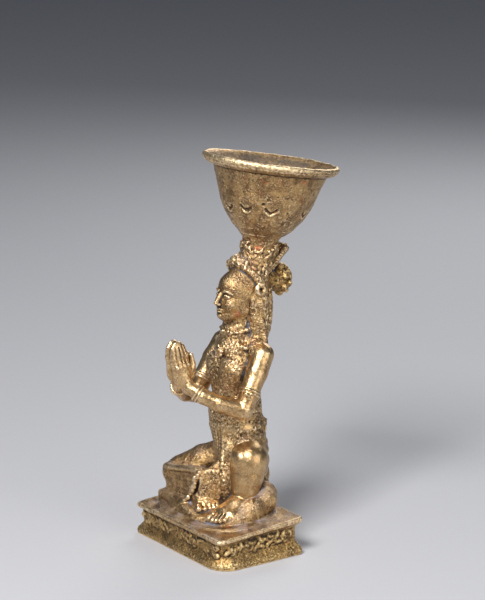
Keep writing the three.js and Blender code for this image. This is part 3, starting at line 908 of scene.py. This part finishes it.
def sculptLegs():
    limb("left_leg_cast", leftLeg["thigh"], 0.8)
    limb("left_leg_cast", leftLeg["shin"], 0.8)
    add("left_leg_cast", egg(*leftLeg["kneecap"]), 1.6)
    centre, radii, thickness = leftLeg["anklet"]
    for rise in (-0.42, 0.42):
        add("left_anklet_cast", hoop(np.array(centre) + [0, 0, rise], radii, thickness, (6, -4, 0)), 0.15)

    limb("right_thigh_cast", rightLeg["thigh"], 0.9)
    limb("right_shin_cast", rightLeg["knee"], 0.9)
    # the wrap is stretched over the folded leg and hangs in fine pleats from its edge, as far as the
    # beaded hem
    middle, half, tilt = rightLeg["drape"]
    add("right_shin_cast", board(middle, half, 1.6, (0, tilt, 0)), 1.6)
    add("right_shin_cast", egg(*rightLeg["kneecap"]), 1.4)
    strand("right_shin_cast", rightLeg["edge"], 0.62, 20, 0.9)
    chance = np.random.RandomState(17)
    hem = np.array(cloth["hem"])
    for x, y, z in along(rightLeg["edge"], rightLeg["pleats"])[1:]:
        stop = max(rightLeg["pleatFoot"], np.interp(x - 0.9, hem[::-1, 0], hem[::-1, 2]))
        lean = chance.uniform(-0.1, 0.35) + ramp(-x, 10, 16) * 1.9
        inward = 0.45 + ramp(-x, 10, 16) * 0.5
        middle = (x + lean * 0.4, y + inward, (z + stop) / 2)
        fall = [(x, y + 0.5, z - 0.2), middle, (x + lean, y + inward * 0.8, stop)]
        strand("right_shin_cast", fall, chance.uniform(0.42, 0.55), 8, 0.55)
    sculptFoot("left_foot_cast", (10.1, 3.6, 13.2), (10.9, -5.2, 12.7), (11.5, -8.9, 11.6), -1, 1.12,
               1.15)
    sculptFoot("right_foot_cast", (-2.4, -4.2, 13.8), (2.5, -5.6, 13.3), (4.8, -6.5, 12.7), -1, 1.05,
               1.35)
    cast("left_leg", wornBrass, skin="smooth", touch=0.12)
    cast("left_anklet", wornBrass, wax["fineVoxel"], "smooth", 0.4)
    cast("right_thigh", agedBrass, skin="cast", touch=0.1, dusty=0.6)
    cast("right_shin", agedBrass, skin="smooth", touch=0.1, dusty=0.8)
    cast("left_foot", wornBrass, wax["fineVoxel"], "smooth", 0.45)
    cast("right_foot", wornBrass, wax["fineVoxel"], "smooth", 0.35)


cloth = {
    "hips": ((0, 7.8, 26.4), (8.3, 7.0, 9.2)),
    "lap": ((5.6, 6.0, 30.0), (4.8, 5.2, 4.4)),        # the cloth over the root of the raised leg
    "folds": 5,
    "sashTop": (0.2, -1.3, 34.4),
    "sashLap": (2.6, -1.8, 23.6),
    "sashPleats": 6,
    "panel": ((2.5, -4.7, 19.1), (1.1, 2.9, 4.3)),
    "panelTurn": -34,
    "hem": [(1.9, -7.9, 23.0), (1.0, -8.4, 20.6), (0.2, -8.7, 18.2), (-1.0, -9.0, 15.8),
            (-2.9, -9.8, 13.4), (-5.0, -10.6, 11.3)],
}


def sculptCloth():
    centre, radii = cloth["hips"]
    add("hip_wrap_cast", egg(centre, radii), 1.0)
    add("hip_wrap_cast", egg((0, 8.8, 19.4), (8.2, 6.4, 5.4)), 1.5)
    add("hip_wrap_cast", egg((4.6, 0.4, 19.0), (3.0, 3.4, 6.4)), 1.2)
    add("hip_wrap_cast", egg(*cloth["lap"]), 1.6)
    add("hip_wrap_cast", egg((3.4, 1.9, 27.2), (3.2, 3.2, 6.2)), 1.4)
    add("hip_wrap_cast", egg((-8.0, 0.5, 17.0), (6.0, 4.6, 3.6)), 1.4)
    for i in range(cloth["folds"]):
        # folds run round the hips and drop towards the lap
        height = 31.6 - i * 2.3
        spread = math.sqrt(max(0.05, 1 - ((height - centre[2]) / radii[2]) ** 2)) - 0.03
        ring = ringPoints((0, centre[1], height), (radii[0] * spread, radii[1] * spread), (-5, 0, 0), 0,
                          360, 18)
        strand("hip_wrap_cast", ring, 0.4, 40, 0.6)
    for level, seed in ((34.2, 21), (33.0, 22), (31.8, 25)):
        # the crumpled edge of the wrap
        ring = ringPoints((0.6, 6.7, level), (7.2, 6.6), (4, 0, 0), -80, 200, 16)
        pebbles("hip_wrap_cast", ring, 0.62, 34, seed, 0.9, 0.7)

    top = np.array(cloth["sashTop"])
    lap = np.array(cloth["sashLap"])
    count = cloth["sashPleats"]
    for i in range(count):
        across = (i - (count - 1) / 2) / count
        start = top + [across * 6.4, 0.3 + abs(across) * 1.6, 0]
        end = lap + [across * 4.6, 0.4 - across * 1.2, 0]
        middle = (start + end) / 2 + [-0.2, 0.5, 0]
        strand("front_sash_cast", [start, middle, end], 0.68, 12, 0.2)
    middle, half = cloth["panel"]
    turn = math.radians(cloth["panelTurn"])
    face = np.array([math.cos(turn), math.sin(turn), 0])
    wide = np.array([-math.sin(turn), math.cos(turn), 0])
    add("front_sash_cast", rod(lap, np.array(middle) + [0, 1.0, 3.6], 1.6, 1.2), 0.8)
    add("front_sash_cast", board(middle, half, 0.8, (0, 0, cloth["panelTurn"])), 0.6)
    for i in range(5):
        # soft folds of the sash's hanging end
        u = (i / 2 - 1) * (half[1] - 0.7)
        front = middle + face * (half[0] - 0.5)
        top = front + wide * u * 0.94 + [0, 0, half[2] - 0.7]
        add("front_sash_cast", rod(top, front + wide * u * 1.05 - [0, 0, half[2] - 0.5], 0.6, 0.7), 0.5)
    score([(1.5, -7.0, 21.2), (0.9, -7.6, 18.6), (-0.2, -8.2, 16.2)], 0.5, 8, 0.4)
    pebbles("hem_beading_cast", cloth["hem"], 0.6, 20, 23, 0.35, 0.3)
    pebbles("hem_beading_cast", np.array(cloth["hem"]) + [-0.9, 0.2, -0.2], 0.5, 20, 24, 0.3, 0.3)
    cast("hip_wrap", agedBrass, skin="rough", touch=0.6)
    cast("front_sash", agedBrass, skin="cast", touch=0.6)
    cast("hem_beading", wornBrass, wax["fineVoxel"], "cast", 0.4)


# Torso and arms

torso = {
    "chest": ((0, 7.2, 51.4), (8.8, 6.2, 6.9)),
    "waist": ((0, 6.2, 43.4), (7.2, 6.3, 8.6)),
    "belly": ((0, 5.5, 38.0), (7.8, 7.2, 6.6)),
    "loins": ((0, 6.3, 34.4), (7.9, 7.0, 5.4)),
    "bosom": ((3.8, 2.2, 50.7), (3.9, 2.8, 3.9)),
    "neck": [(0, 6.8, 56.5, 4.4), (0, 6.1, 60.4, 4.2), (0, 6.6, 67.0, 3.7)],
    "cord": ((0, 6.2, 34.6), (7.75, 6.9)),
}


def sculptTorso():
    for part, blend in (("chest", 0.5), ("waist", 2.0), ("belly", 2.0), ("loins", 1.5)):
        add("torso_cast", egg(*torso[part]), blend)
    add("torso_cast", rod((-8.4, 8.0, 55.4), (8.4, 8.0, 55.4), 3.0), 1.6)
    limb("torso_cast", torso["neck"], 1.8)
    add("torso_cast", egg((0, 4.4, 56.4), (5.8, 3.9, 3.0)), 1.6)
    add("torso_cast", egg((0, 1.8, 46.6), (5.4, 2.4, 3.6)), 1.8)
    for side in (1, -1):
        centre, radii = torso["bosom"]
        add("torso_cast", egg((side * centre[0], *centre[1:]), radii), 2.2)
        add("torso_cast", rod((0, 8.8, 60.6), (side * 7.2, 8.4, 56.8), 2.2, 2.6), 1.5)
        add("torso_cast", rod((side * 1.4, 2.6, 57.4), (side * 7.0, 4.4, 57.4), 0.5, 0.5), 1.0)
        add("torso_cast", egg((side * 3.9, 11.4, 52.6), (2.8, 1.8, 3.8), (0, side * 12, 0)), 1.2)
        score([(side * 1.0, 1.0, 54.6), (side * 3.0, 0.6, 54.4), (side * 5.6, 1.6, 54.8)], 0.34, 8, 0.5)
    score([(0, 13.8, 57), (0, 13.6, 50), (0, 12.6, 42), (0, 12.8, 35)], 0.6, 14, 0.9)
    cut(egg((0, -1.8, 38.6), (0.55, 0.7, 0.7)), 0.4)
    cast("torso", agedBrass, skin="rough", touch=0.95)

    # a worn twisted cord at the waist
    middle, radii = torso["cord"]
    for place in along(ringPoints(middle, radii, (3, 0, 0), 0, 360, 24), 56)[:-1]:
        outward = (place - middle) / radii[0]
        tangent = np.cross([0, 0, 1], outward) * 0.4
        add("waist_cord_cast", rod(place - tangent - [0, 0, 0.3], place + tangent + [0, 0, 0.3], 0.45),
            0.35)
    cast("waist_cord", wornBrass, wax["fineVoxel"], "cast", 0.3)


arms = {
    "left": {
        "upper": [(9.3, 8.3, 55.4, 3.25), (10.5, 5.6, 51.2, 3.0), (11.3, 2.8, 46.6, 2.75),
                  (11.8, 0.6, 42.4, 2.6)],
        "fore": [(11.8, 0.0, 41.5, 2.7), (8.6, -5.4, 43.6, 2.35), (5.6, -9.0, 45.7, 2.1),
                 (2.8, -11.3, 47.7, 1.8)],
    },
    "right": {
        "upper": [(-9.3, 8.2, 55.4, 3.2), (-10.2, 5.4, 51.0, 3.0), (-10.6, 2.4, 46.0, 2.75),
                  (-10.6, 0.4, 42.0, 2.6)],
        "fore": [(-10.6, -0.2, 41.2, 2.7), (-8.2, -5.4, 42.8, 2.35), (-5.6, -9.0, 45.2, 2.1),
                 (-2.8, -11.3, 47.5, 1.8)],
    },
    "armletAt": 0.74,
    "bangleAt": 0.84,
}


def ringRound(piece, stations, share, radius, thickness, rows, spacing):
    # rings round a limb, at a share of its length
    place = along(stations, 41)
    index = int(share * 40)
    middle = place[index][:3]
    run = place[min(index + 1, 40)][:3] - place[index - 1][:3]
    turn = Vector(run).to_track_quat("Z", "Y").to_euler()
    turn = [math.degrees(a) for a in turn]
    run = run / np.linalg.norm(run)
    for row in range(rows):
        offset = (row - (rows - 1) / 2) * spacing
        add(piece, hoop(middle + run * offset, (radius, radius), thickness, turn), 0.1)


hand = {
    "wrist": (0, -12.1, 48.3),
    "lean": 11.0,             # degrees, forwards
    "fingers": ((-1.86, 4.6), (-0.62, 5.2), (0.62, 5.2), (1.86, 4.6)),
    "fingerRadius": 0.88,
    "knuckles": 6.3,
}


def handPoint(side, x, across, up):
    # across is towards the devotee's body, up is along the fingers
    lean = math.radians(hand["lean"])
    return (side * x,
            hand["wrist"][1] + across * math.cos(lean) - up * math.sin(lean),
            hand["wrist"][2] + across * math.sin(lean) + up * math.cos(lean))


def sculptHand(name, side):
    lean = hand["lean"]
    root = hand["knuckles"]
    add(name, egg(handPoint(side, 1.45, 0, 3.6), (1.6, 3.1, 4.2), (lean, 0, 0)), 0.8)
    add(name, rod(handPoint(side, 2.2, 0.4, -0.6), handPoint(side, 1.6, 0.4, 2.4), 1.7, 1.5), 1.0)
    add(name, egg(handPoint(side, 1.05, 0, root + 1.5), (1.2, 2.75, 5.0), (lean, 0, 0)), 0.4)
    for across, length in hand["fingers"]:
        radius = hand["fingerRadius"]
        base = handPoint(side, 1.2, across, root - 1.0)
        knuckle = handPoint(side, 1.25, across, root + length * 0.45)
        tip = handPoint(side, 0.95, across * 0.8, root + length)
        add(name, rod(base, knuckle, radius * 1.05, radius), 0.3)
        add(name, rod(knuckle, tip, radius, radius * 0.88), 0.35)
        add(name, egg(handPoint(side, 2.15, across * 0.95, root - 0.6), (0.6, 0.6, 0.7)), 0.5)
    for across in (-1.34, 0, 1.34):
        groove = [handPoint(side, 2.3, across, root + 0.2), handPoint(side, 2.1, across, root + 2.4),
                  handPoint(side, 1.8, across * 0.85, root + 4.9)]
        score(groove, 0.17, 6, 0.1)
    add(name, rod(handPoint(side, 1.7, 2.4, 2.0), handPoint(side, 1.35, 3.7, 5.0), 1.15, 0.95), 0.6)
    add(name, rod(handPoint(side, 1.35, 3.7, 5.0), handPoint(side, 1.05, 3.8, 7.6), 0.92, 0.72), 0.2)


def sculptArms():
    for label, side in (("left", 1), ("right", -1)):
        limb(label + "_upper_arm_cast", arms[label]["upper"], 0.5)
        limb(label + "_forearm_cast", arms[label]["fore"], 0.5)
        sculptHand(label + "_hand_cast", side)
        ringRound(label + "_armlet_cast", arms[label]["upper"], arms["armletAt"], 2.75, 0.42, 2, 0.8)
        ringRound(label + "_bangle_cast", arms[label]["fore"], arms["bangleAt"], 2.05, 0.42, 2, 0.86)
        for across, up in ((0, 0), (0.75, 0.4), (-0.7, 0.5), (0.1, -0.8)):
            knob = (side * 13.8, 0.4 + across, 46.2 + up)
            add(label + "_armlet_cast", egg(knob, (0.8, 0.62, 0.62)), 0.15)
        cast(label + "_upper_arm", wornBrass, skin="smooth", touch=0.5)
        cast(label + "_forearm", wornBrass, skin="smooth", touch=0.45)
        cast(label + "_hand", wornBrass, wax["fineVoxel"], "smooth", 0.5)
        cast(label + "_armlet", wornBrass, wax["fineVoxel"], "cast", 0.5)
        cast(label + "_bangle", wornBrass, wax["fineVoxel"], "smooth", 0.5)
    cut(egg((14.3, -1.6, 41.2), (0.45, 0.45, 0.45)), 0.2)


# Head

head = {
    "middle": (0, 7.3, 70.1),     # between the ears, at the height of the eyes
    "lean": 10.0,                 # degrees, backwards
    "size": 1.04,
}


def headPoint(x, forward, up):
    lean = math.radians(head["lean"])
    x, forward, up = (value * head["size"] for value in (x, forward, up))
    return (x,
            head["middle"][1] - forward * math.cos(lean) + up * math.sin(lean),
            head["middle"][2] + forward * math.sin(lean) + up * math.cos(lean))


def headEgg(x, forward, up, radii):
    return egg(headPoint(x, forward, up), [r * head["size"] for r in radii], (-head["lean"], 0, 0))


def headRods(piece, points, radius, blend):
    places = [headPoint(*point) for point in points]
    strand(piece, places, radius, 4 * len(points), blend)


def sculptHead():
    name = "head_cast"
    add(name, headEgg(0, -0.6, 2.2, (5.2, 6.6, 6.0)), 0.8)
    add(name, headEgg(0, 2.0, -1.4, (4.35, 4.5, 5.2)), 1.2)
    add(name, headEgg(0, 3.0, 2.6, (4.0, 3.3, 3.3)), 1.2)
    add(name, headEgg(0, 4.0, -5.0, (2.0, 1.9, 1.45)), 1.3)
    for side in (1, -1):
        add(name, rod(headPoint(side * 3.7, 0.4, -2.8), headPoint(side * 1.3, 4.3, -5.2), 1.3, 1.1), 1.2)
        add(name, headEgg(side * 2.45, 4.7, -1.9, (1.5, 1.15, 1.4)), 1.0)
        cut(headEgg(side * 1.95, 6.75, 0.15, (1.25, 0.8, 0.75)), 0.55)
        headRods(name, [(side * 0.75, 6.35, 1.2), (side * 2.0, 6.25, 1.6), (side * 3.5, 5.1, 1.05)], 0.24,
                 0.4)
        add(name, headEgg(side * 1.95, 5.35, 0.05, (1.05, 0.85, 0.62)), 0.12)
        headRods(name, [(side * 0.95, 5.95, -0.02), (side * 1.9, 6.2, 0.48), (side * 2.95, 5.55, 0.12)],
                 0.15, 0.1)
        headRods(name, [(side * 0.95, 5.95, -0.06), (side * 1.9, 6.1, -0.45), (side * 2.9, 5.5, -0.02)],
                 0.12, 0.1)
        add(name, headEgg(side * 0.72, 6.95, -2.2, (0.5, 0.62, 0.42)), 0.3)
        cut(headEgg(side * 0.38, 7.3, -2.72, (0.2, 0.28, 0.2)), 0.12)
        add(name, headEgg(side * 5.0, -1.2, -0.2, (0.75, 1.2, 1.9)), 0.4)
        cut(headEgg(side * 5.75, -1.1, 0.0, (0.35, 0.6, 1.1)), 0.25)
    headRods(name, [(0, 6.15, 0.9), (0, 6.8, -0.4), (0, 7.55, -1.9)], 0.46, 0.5)
    add(name, headEgg(0, 7.55, -1.98, (0.66, 0.66, 0.58)), 0.3)
    headRods(name, [(-1.35, 5.75, -3.75), (-0.55, 6.35, -3.42), (0, 6.42, -3.52), (0.55, 6.35, -3.42),
                    (1.35, 5.75, -3.75)], 0.27, 0.22)
    headRods(name, [(-1.1, 5.75, -4.0), (-0.4, 6.25, -4.18), (0.4, 6.25, -4.18), (1.1, 5.75, -4.0)], 0.31,
             0.22)
    score([headPoint(*p) for p in ((-1.45, 5.95, -3.82), (-0.5, 6.72, -3.78), (0.5, 6.72, -3.78),
                                   (1.45, 5.95, -3.82))], 0.1, 9, 0.08)
    add(name, headEgg(0, 5.35, -5.35, (0.95, 0.85, 0.75)), 0.7)
    score([headPoint(*p) for p in ((-0.7, 6.35, -4.75), (0, 6.45, -4.7), (0.7, 6.35, -4.75))], 0.18, 5,
          0.35)
    cast("head", agedBrass, wax["fineVoxel"], "smooth", 0.4)


# Hair and jewels

hair = {
    "ring": ((6.4, 9.7, 73.1), 1.2, 0.62),
    "lock": [(5.4, 10.6, 71.0), (5.6, 10.9, 67.4), (5.4, 10.2, 64.0), (6.0, 10.6, 60.6),
             (6.4, 10.2, 57.6)],
    "lockRadius": 1.0,
    "mane": [(0, 12.2, 72.0, 4.4), (0, 12.6, 66.0, 4.2), (0, 12.0, 60.0, 4.0), (0, 11.4, 56.5, 3.0)],
    "tiara": [(-5.9, 10.6, 74.4), (-5.7, 9.2, 76.2), (-4.7, 7.6, 78.2), (-2.7, 6.4, 79.6), (0, 6.0, 80.2),
              (2.7, 6.4, 79.6), (4.7, 7.6, 78.2), (5.7, 9.2, 76.2), (5.9, 10.6, 74.4)],
    "bun": (0, 19.8, 73.6),
    "plumeFoot": (0, 16.4, 77.4),
    "plumeTip": (0, 21.7, 82.7),
}


def sculptLock(name, side):
    # three strands twisted loosely round one another
    path = along([(side * p[0], p[1], p[2]) for p in hair["lock"]], 25)
    for turn in range(3):
        twisted = []
        for i, place in enumerate(path):
            angle = math.radians(turn * 120 + i * 17 * side)
            swell = 0.8 * (0.75 + 0.25 * math.sin(i * 0.62)) * (1 - 0.15 * i / 24)
            twisted.append(place + [swell * math.cos(angle), swell * math.sin(angle), 0])
        for one, two in zip(twisted, twisted[1:]):
            add(name, rod(one, two, hair["lockRadius"]), 0.25)


def sculptHair():
    for label, side in (("left", 1), ("right", -1)):
        centre, radius, thickness = hair["ring"]
        place = (side * centre[0], centre[1], centre[2])
        add(label + "_earring_cast", hoop(place, (radius, radius), thickness, (0, 90 - side * 8, 0)),
            0.15)
        sculptLock(label + "_side_lock_cast", side)
        cast(label + "_earring", wornBrass, wax["fineVoxel"], "smooth", 1.0)
        cast(label + "_side_lock", agedBrass, wax["fineVoxel"], "rough", 0.5)

    # rough curls from the brow to behind the ears
    tiara = np.array(hair["tiara"])
    strand("tiara_cast", tiara, 0.95, 26, 0.3)
    pebbles("tiara_cast", tiara + [0, -0.5, 0.1], 0.72, 30, 31, 0.5, 0.25)
    pebbles("tiara_cast", tiara + [0, 0.5, 1.0], 0.72, 28, 32, 0.5, 0.25)
    pebbles("tiara_cast", tiara * [0.96, 1, 1] + [0, 0.2, -1.1], 0.55, 34, 33, 0.3, 0.2)
    cast("tiara", agedBrass, wax["fineVoxel"], "rough", 0.55, dusty=0.8)

    # the hair is drawn up and back, in rough strands, to the column under the bowl, and falls behind the
    # neck
    add("hair_crown_cast", headEgg(0, -2.4, 4.2, (5.1, 5.0, 5.2)), 0.9)
    add("hair_crown_cast", rod((0, 10.8, 77.4), (0, 12.6, 80.8), 4.6, 4.4), 1.2)
    chance = np.random.RandomState(41)
    for i in range(30):
        angle = math.radians(-112 + i * 7.6)
        drift = chance.uniform(0.0, 0.5)
        strands = []
        for step in range(5):
            t = step / 4
            turn = angle + drift * t
            spread = 5.0 - 0.5 * t + chance.uniform(-0.25, 0.25)
            strands.append((spread * math.sin(turn), 11.4 + 1.3 * t - (spread - 0.6) * math.cos(turn),
                            75.6 + 5.2 * t + 1.4 * math.cos(turn)))
        strand("hair_crown_cast", strands, 0.36, 9, 0.3)
    limb("hair_crown_cast", hair["mane"], 1.2, 1.0)
    for side in (1, -1):
        limb("hair_crown_cast",
             [(side * 4.4, 9.6, 71.5, 1.7), (side * 4.3, 9.4, 65.0, 2.1), (side * 5.2, 9.6, 58.6, 2.0)],
             0.8)
    for i in range(11):
        angle = math.radians(-100 + i * 20)
        fall = [(p[0] + p[3] * math.sin(angle), p[1] + p[3] * math.cos(angle),
                 p[2]) for p in hair["mane"]]
        strand("hair_crown_cast", fall, 0.5, 9, 0.3)
    cast("hair_crown", agedBrass, wax["fineVoxel"], "rough", 0.45, dusty=0.9)

    bun = np.array(hair["bun"])
    add("hair_bun_cast", egg(bun, (3.7, 2.9, 3.7)), 0.4)
    add("hair_bun_cast", rod((0, 14.5, 74.2), bun, 3.2, 3.0), 0.8)
    for i in range(7):
        angle = math.radians(i * 360 / 7)
        curl = []
        for step in range(6):
            a = angle + step * 0.32
            out = 0.6 + step * 0.6
            curl.append(bun + [out * math.cos(a), 3.1 - 0.09 * out * out, out * math.sin(a)])
        strand("hair_bun_cast", curl, 0.66, 9, 0.15)
        rim = bun + [3.5 * math.cos(angle + 0.4), 0.4, 3.5 * math.sin(angle + 0.4)]
        add("hair_bun_cast", egg(rim, (1.15, 1.3, 1.15)), 0.25)
    cast("hair_bun", darkBrass, wax["fineVoxel"], "rough", 0.15)

    foot = np.array(hair["plumeFoot"])
    tip = np.array(hair["plumeTip"])
    turn = (math.degrees(math.atan2(tip[2] - foot[2], tip[1] - foot[1])), 0, 0)
    add("back_plume_cast", board((foot + tip) / 2, (2.7, 3.8, 0.75), 0.35, turn), 0.5)
    for i in range(5):
        x = -2.2 + i * 1.1
        lift = np.array([0, -0.5, 0.55])
        strand("back_plume_cast", [foot + [x, 0, 0] + lift, tip + [x, -0.2, -0.2] + lift], 0.36, 5, 0.2)
    for side in (1, -1):
        add("back_plume_cast", rod((side * 4.3, 12.4, 76.4), tip + [side * 2.5, -0.6, -0.2], 0.8, 0.75),
            0.5)
    pebbles("back_plume_cast", [foot + [2.6, -0.4, 0.4], tip + [2.6, -0.4, 0.2], tip + [-2.6, -0.4, 0.2]],
            0.55, 13, 51, 0.4)
    cast("back_plume", agedBrass, wax["fineVoxel"], "rough", 0.6)


jewels = {
    "necklace": ((0, 6.4, 58.2), (5.3, 5.3), 0.6, (16, 0, 0)),
    "pendant": (0, 0.3, 55.9),
}


def sculptJewels():
    centre, radii, thickness, turn = jewels["necklace"]
    add("necklace_cast", hoop(centre, radii, thickness, turn), 0.2)
    pebbles("necklace_cast", ringPoints(centre, (radii[0] + 0.3, radii[1] + 0.3), turn, 0, 360, 24), 0.62,
            34, 61, 0.2, 0.2)
    pebbles("necklace_cast", ringPoints((0, 6.3, 61.6), (4.4, 4.4), (8, 0, 0), 0, 360, 24), 0.6, 32, 62,
            0.3, 0.25)
    drop = np.array(jewels["pendant"])
    add("pendant_cast", egg(drop, (1.3, 0.9, 1.5)), 0.3)
    for i in range(8):
        angle = math.radians(i * 45)
        add("pendant_cast",
            egg(drop + [1.2 * math.cos(angle), -0.1, 1.35 * math.sin(angle)], (0.42, 0.5, 0.42)), 0.15)
    cast("necklace", wornBrass, wax["fineVoxel"], "cast", 0.4)
    cast("pendant", wornBrass, wax["fineVoxel"], "cast", 0.5)


# Lamp

lamp = {
    "foot": (0, 14.6, 87.0),
    "lean": 9.0,              # degrees, backwards
    "outside": [(0, 0), (6.2, 0), (8.4, 1.9), (10.8, 5), (12.4, 8), (13.2, 10), (13.9, 12.4), (15.1, 16),
                (15.8, 17.8)],
    "lip": [(16.4, 17.9), (17.6, 18.3), (18.6, 19.0), (19.0, 19.9), (18.8, 20.6), (18.1, 20.85),
            (17.4, 20.4)],
    "inside": [(15.4, 18.6), (13.7, 16), (12.2, 12.4), (10.6, 8.4), (8.2, 4.9), (5, 3), (0, 2.4)],
    "markHeight": 6.6,
    "markCount": 12,
}


def turnedForm(profile, foot, lean, step=0.08):
    # a profile of (radius, height) pairs turned about an axis that leans back; a table holds the
    # distances
    outline = np.array(profile, dtype=float)
    radii = np.arange(0, outline[:, 0].max() + 3, step)
    heights = np.arange(outline[:, 1].min() - 3, outline[:, 1].max() + 3, step)
    r, h = np.meshgrid(radii, heights, indexing="ij")
    away = np.full(r.shape, 1e9)
    inside = np.zeros(r.shape, bool)
    closed = np.vstack([outline, outline[:1]])
    for (r0, h0), (r1, h1) in zip(closed, closed[1:]):
        if not (r0 == 0 and r1 == 0):
            t = np.clip(((r - r0) * (r1 - r0) + (h - h0) * (h1 - h0)) / ((r1 - r0) ** 2 + (h1 - h0) ** 2),
                        0, 1)
            away = np.minimum(away, np.hypot(r - r0 - t * (r1 - r0), h - h0 - t * (h1 - h0)))
        if h0 != h1:
            crosses = ((h0 > h) != (h1 > h)) & (r < (r1 - r0) * (h - h0) / (h1 - h0) + r0)
            inside ^= crosses
    table = np.where(inside, -away, away).astype(np.float32)
    angle = math.radians(lean)
    axis = np.array([0, math.sin(angle), math.cos(angle)], dtype=np.float32)

    def shape(x, y, z):
        py, pz = y - foot[1], z - foot[2]
        height = py * axis[1] + pz * axis[2]
        radius = np.sqrt((x - foot[0]) ** 2 + (py * axis[2] - pz * axis[1]) ** 2)
        u = np.clip(radius / step, 0, table.shape[0] - 2)
        v = np.clip((height - heights[0]) / step, 0, table.shape[1] - 2)
        i, j = u.astype(int), v.astype(int)
        u, v = u - i, v - j
        return ((table[i, j] * (1 - u) + table[i + 1, j] * u) * (1 - v)
                + (table[i, j + 1] * (1 - u) + table[i + 1, j + 1] * u) * v)

    reach = outline[:, 0].max()
    corners = [np.array(foot) + axis * height for height in (outline[:, 1].min(), outline[:, 1].max())]
    pad = np.array([reach, reach * axis[2], reach * axis[1]])
    return shape, np.min(corners, axis=0) - pad, np.max(corners, axis=0) + pad


def bowlPoint(angle, height, out=0.0):
    # a place on the bowl's outside; angle 0 is the devotee's front, turning towards the left
    outline = np.array(lamp["outside"])
    radius = np.interp(height, outline[1:, 1], outline[1:, 0]) + out
    a = math.radians(angle)
    lean = math.radians(lamp["lean"])
    x, y = radius * math.sin(a), -radius * math.cos(a)
    return (lamp["foot"][0] + x,
            lamp["foot"][1] + y * math.cos(lean) + height * math.sin(lean),
            lamp["foot"][2] - y * math.sin(lean) + height * math.cos(lean))


def insideBowl(points):
    # how far inside the oil bowl a place is, for the soot
    lean = math.radians(lamp["lean"])
    y = points[:, 1] - lamp["foot"][1]
    z = points[:, 2] - lamp["foot"][2]
    height = y * math.sin(lean) + z * math.cos(lean)
    radius = np.hypot(points[:, 0], y * math.cos(lean) - z * math.sin(lean))
    outline = np.array(lamp["outside"][1:] + lamp["lip"][:3])
    wall = np.interp(height, outline[:, 1], outline[:, 0])
    patchy = 0.75 + 0.35 * noiseAt(points, 2.2, 12) + 0.2 * noiseAt(points, 0.8, 13)
    return np.clip(ramp(wall - radius, 0.5, 1.2) * ramp(height, 20.6, 19.4) * ramp(height, 1.0,
                                                                                   2.0) * patchy, 0, 1)


def sculptLamp():
    profile = lamp["outside"] + lamp["lip"] + lamp["inside"]
    add("lamp_bowl_cast", turnedForm(profile, lamp["foot"], lamp["lean"]), 0.25)
    height = lamp["markHeight"]
    chance = np.random.RandomState(71)
    for i in range(lamp["markCount"]):
        # crescents pressed into the wax, each with a lip pushed up below it
        angle = i * 360 / lamp["markCount"] + chance.uniform(-3, 3)
        level = height + chance.uniform(-0.4, 0.4)
        span = chance.uniform(5.5, 7.5)
        if i % 4 == 3:
            continue
        bend = [(u / 4 * span, (u / 4) ** 2 * 1.1) for u in range(-4, 5)]
        score([bowlPoint(angle + u, level + h, 0.05) for u, h in bend], 0.34, 9, 0.25)
        strand("lamp_bowl_cast", [bowlPoint(angle + u, level + h - 0.6, -0.12) for u, h in bend[1:-1]],
               0.24, 8, 0.3)
    for _ in range(14):
        pit = bowlPoint(chance.uniform(0, 360), chance.uniform(2, 12), 0.05)
        cut(egg(pit, chance.uniform(0.25, 0.55, 3)), 0.2)
    cast("lamp_bowl", agedBrass, wax["bowlVoxel"], "cast", 0.3, insideBowl, 0.05)

    lean = lamp["lean"]
    stem = [(0, -1.0), (5.0, -1.0), (4.9, 2.0), (4.8, 4.0), (5.1, 5.6), (5.9, 6.9), (6.1, 7.4), (0, 7.4)]
    add("lamp_stem_cast", turnedForm(stem, (0, 13.3, 80.2), lean), 0.6)
    for i in range(16):
        # worn scrolls round the stem
        angle = math.radians(-160 + i * 22 + chance.uniform(-8, 8))
        middle = chance.uniform(2.2, 3.6)
        curl = []
        for step in range(4):
            a = step * 0.8 + i
            size = 1.3 - step * 0.2
            turn = angle + size * math.cos(a) / 5.0
            rise = middle + size * math.sin(a)
            curl.append((4.9 * math.sin(turn), 13.3 - 4.9 * math.cos(turn) + rise * 0.156,
                         80.2 + rise + 0.78 * math.cos(turn)))
        strand("lamp_stem_cast", curl, 0.32, 9, 0.45)
    cast("lamp_stem", agedBrass, wax["fineVoxel"], "rough", 0.4, dusty=0.8)


# Making the lamp

makeCamera()
makeStudio()
for sculpt in (sculptPlinth, sculptSeat, sculptLegs, sculptCloth, sculptTorso, sculptArms, sculptHead,
               sculptHair,
               sculptJewels, sculptLamp):
    sculpt()
stage(f"{len(strokes)} strokes laid")
hollows = surveyHollows()
stage("hollows surveyed")
faceCount = 0
for casting in castings:
    faces = pourPiece(casting, hollows)
    faceCount += faces
    stage(f"{casting['name']}: {faces} faces")
stage(f"lamp finished, {faceCount} faces")
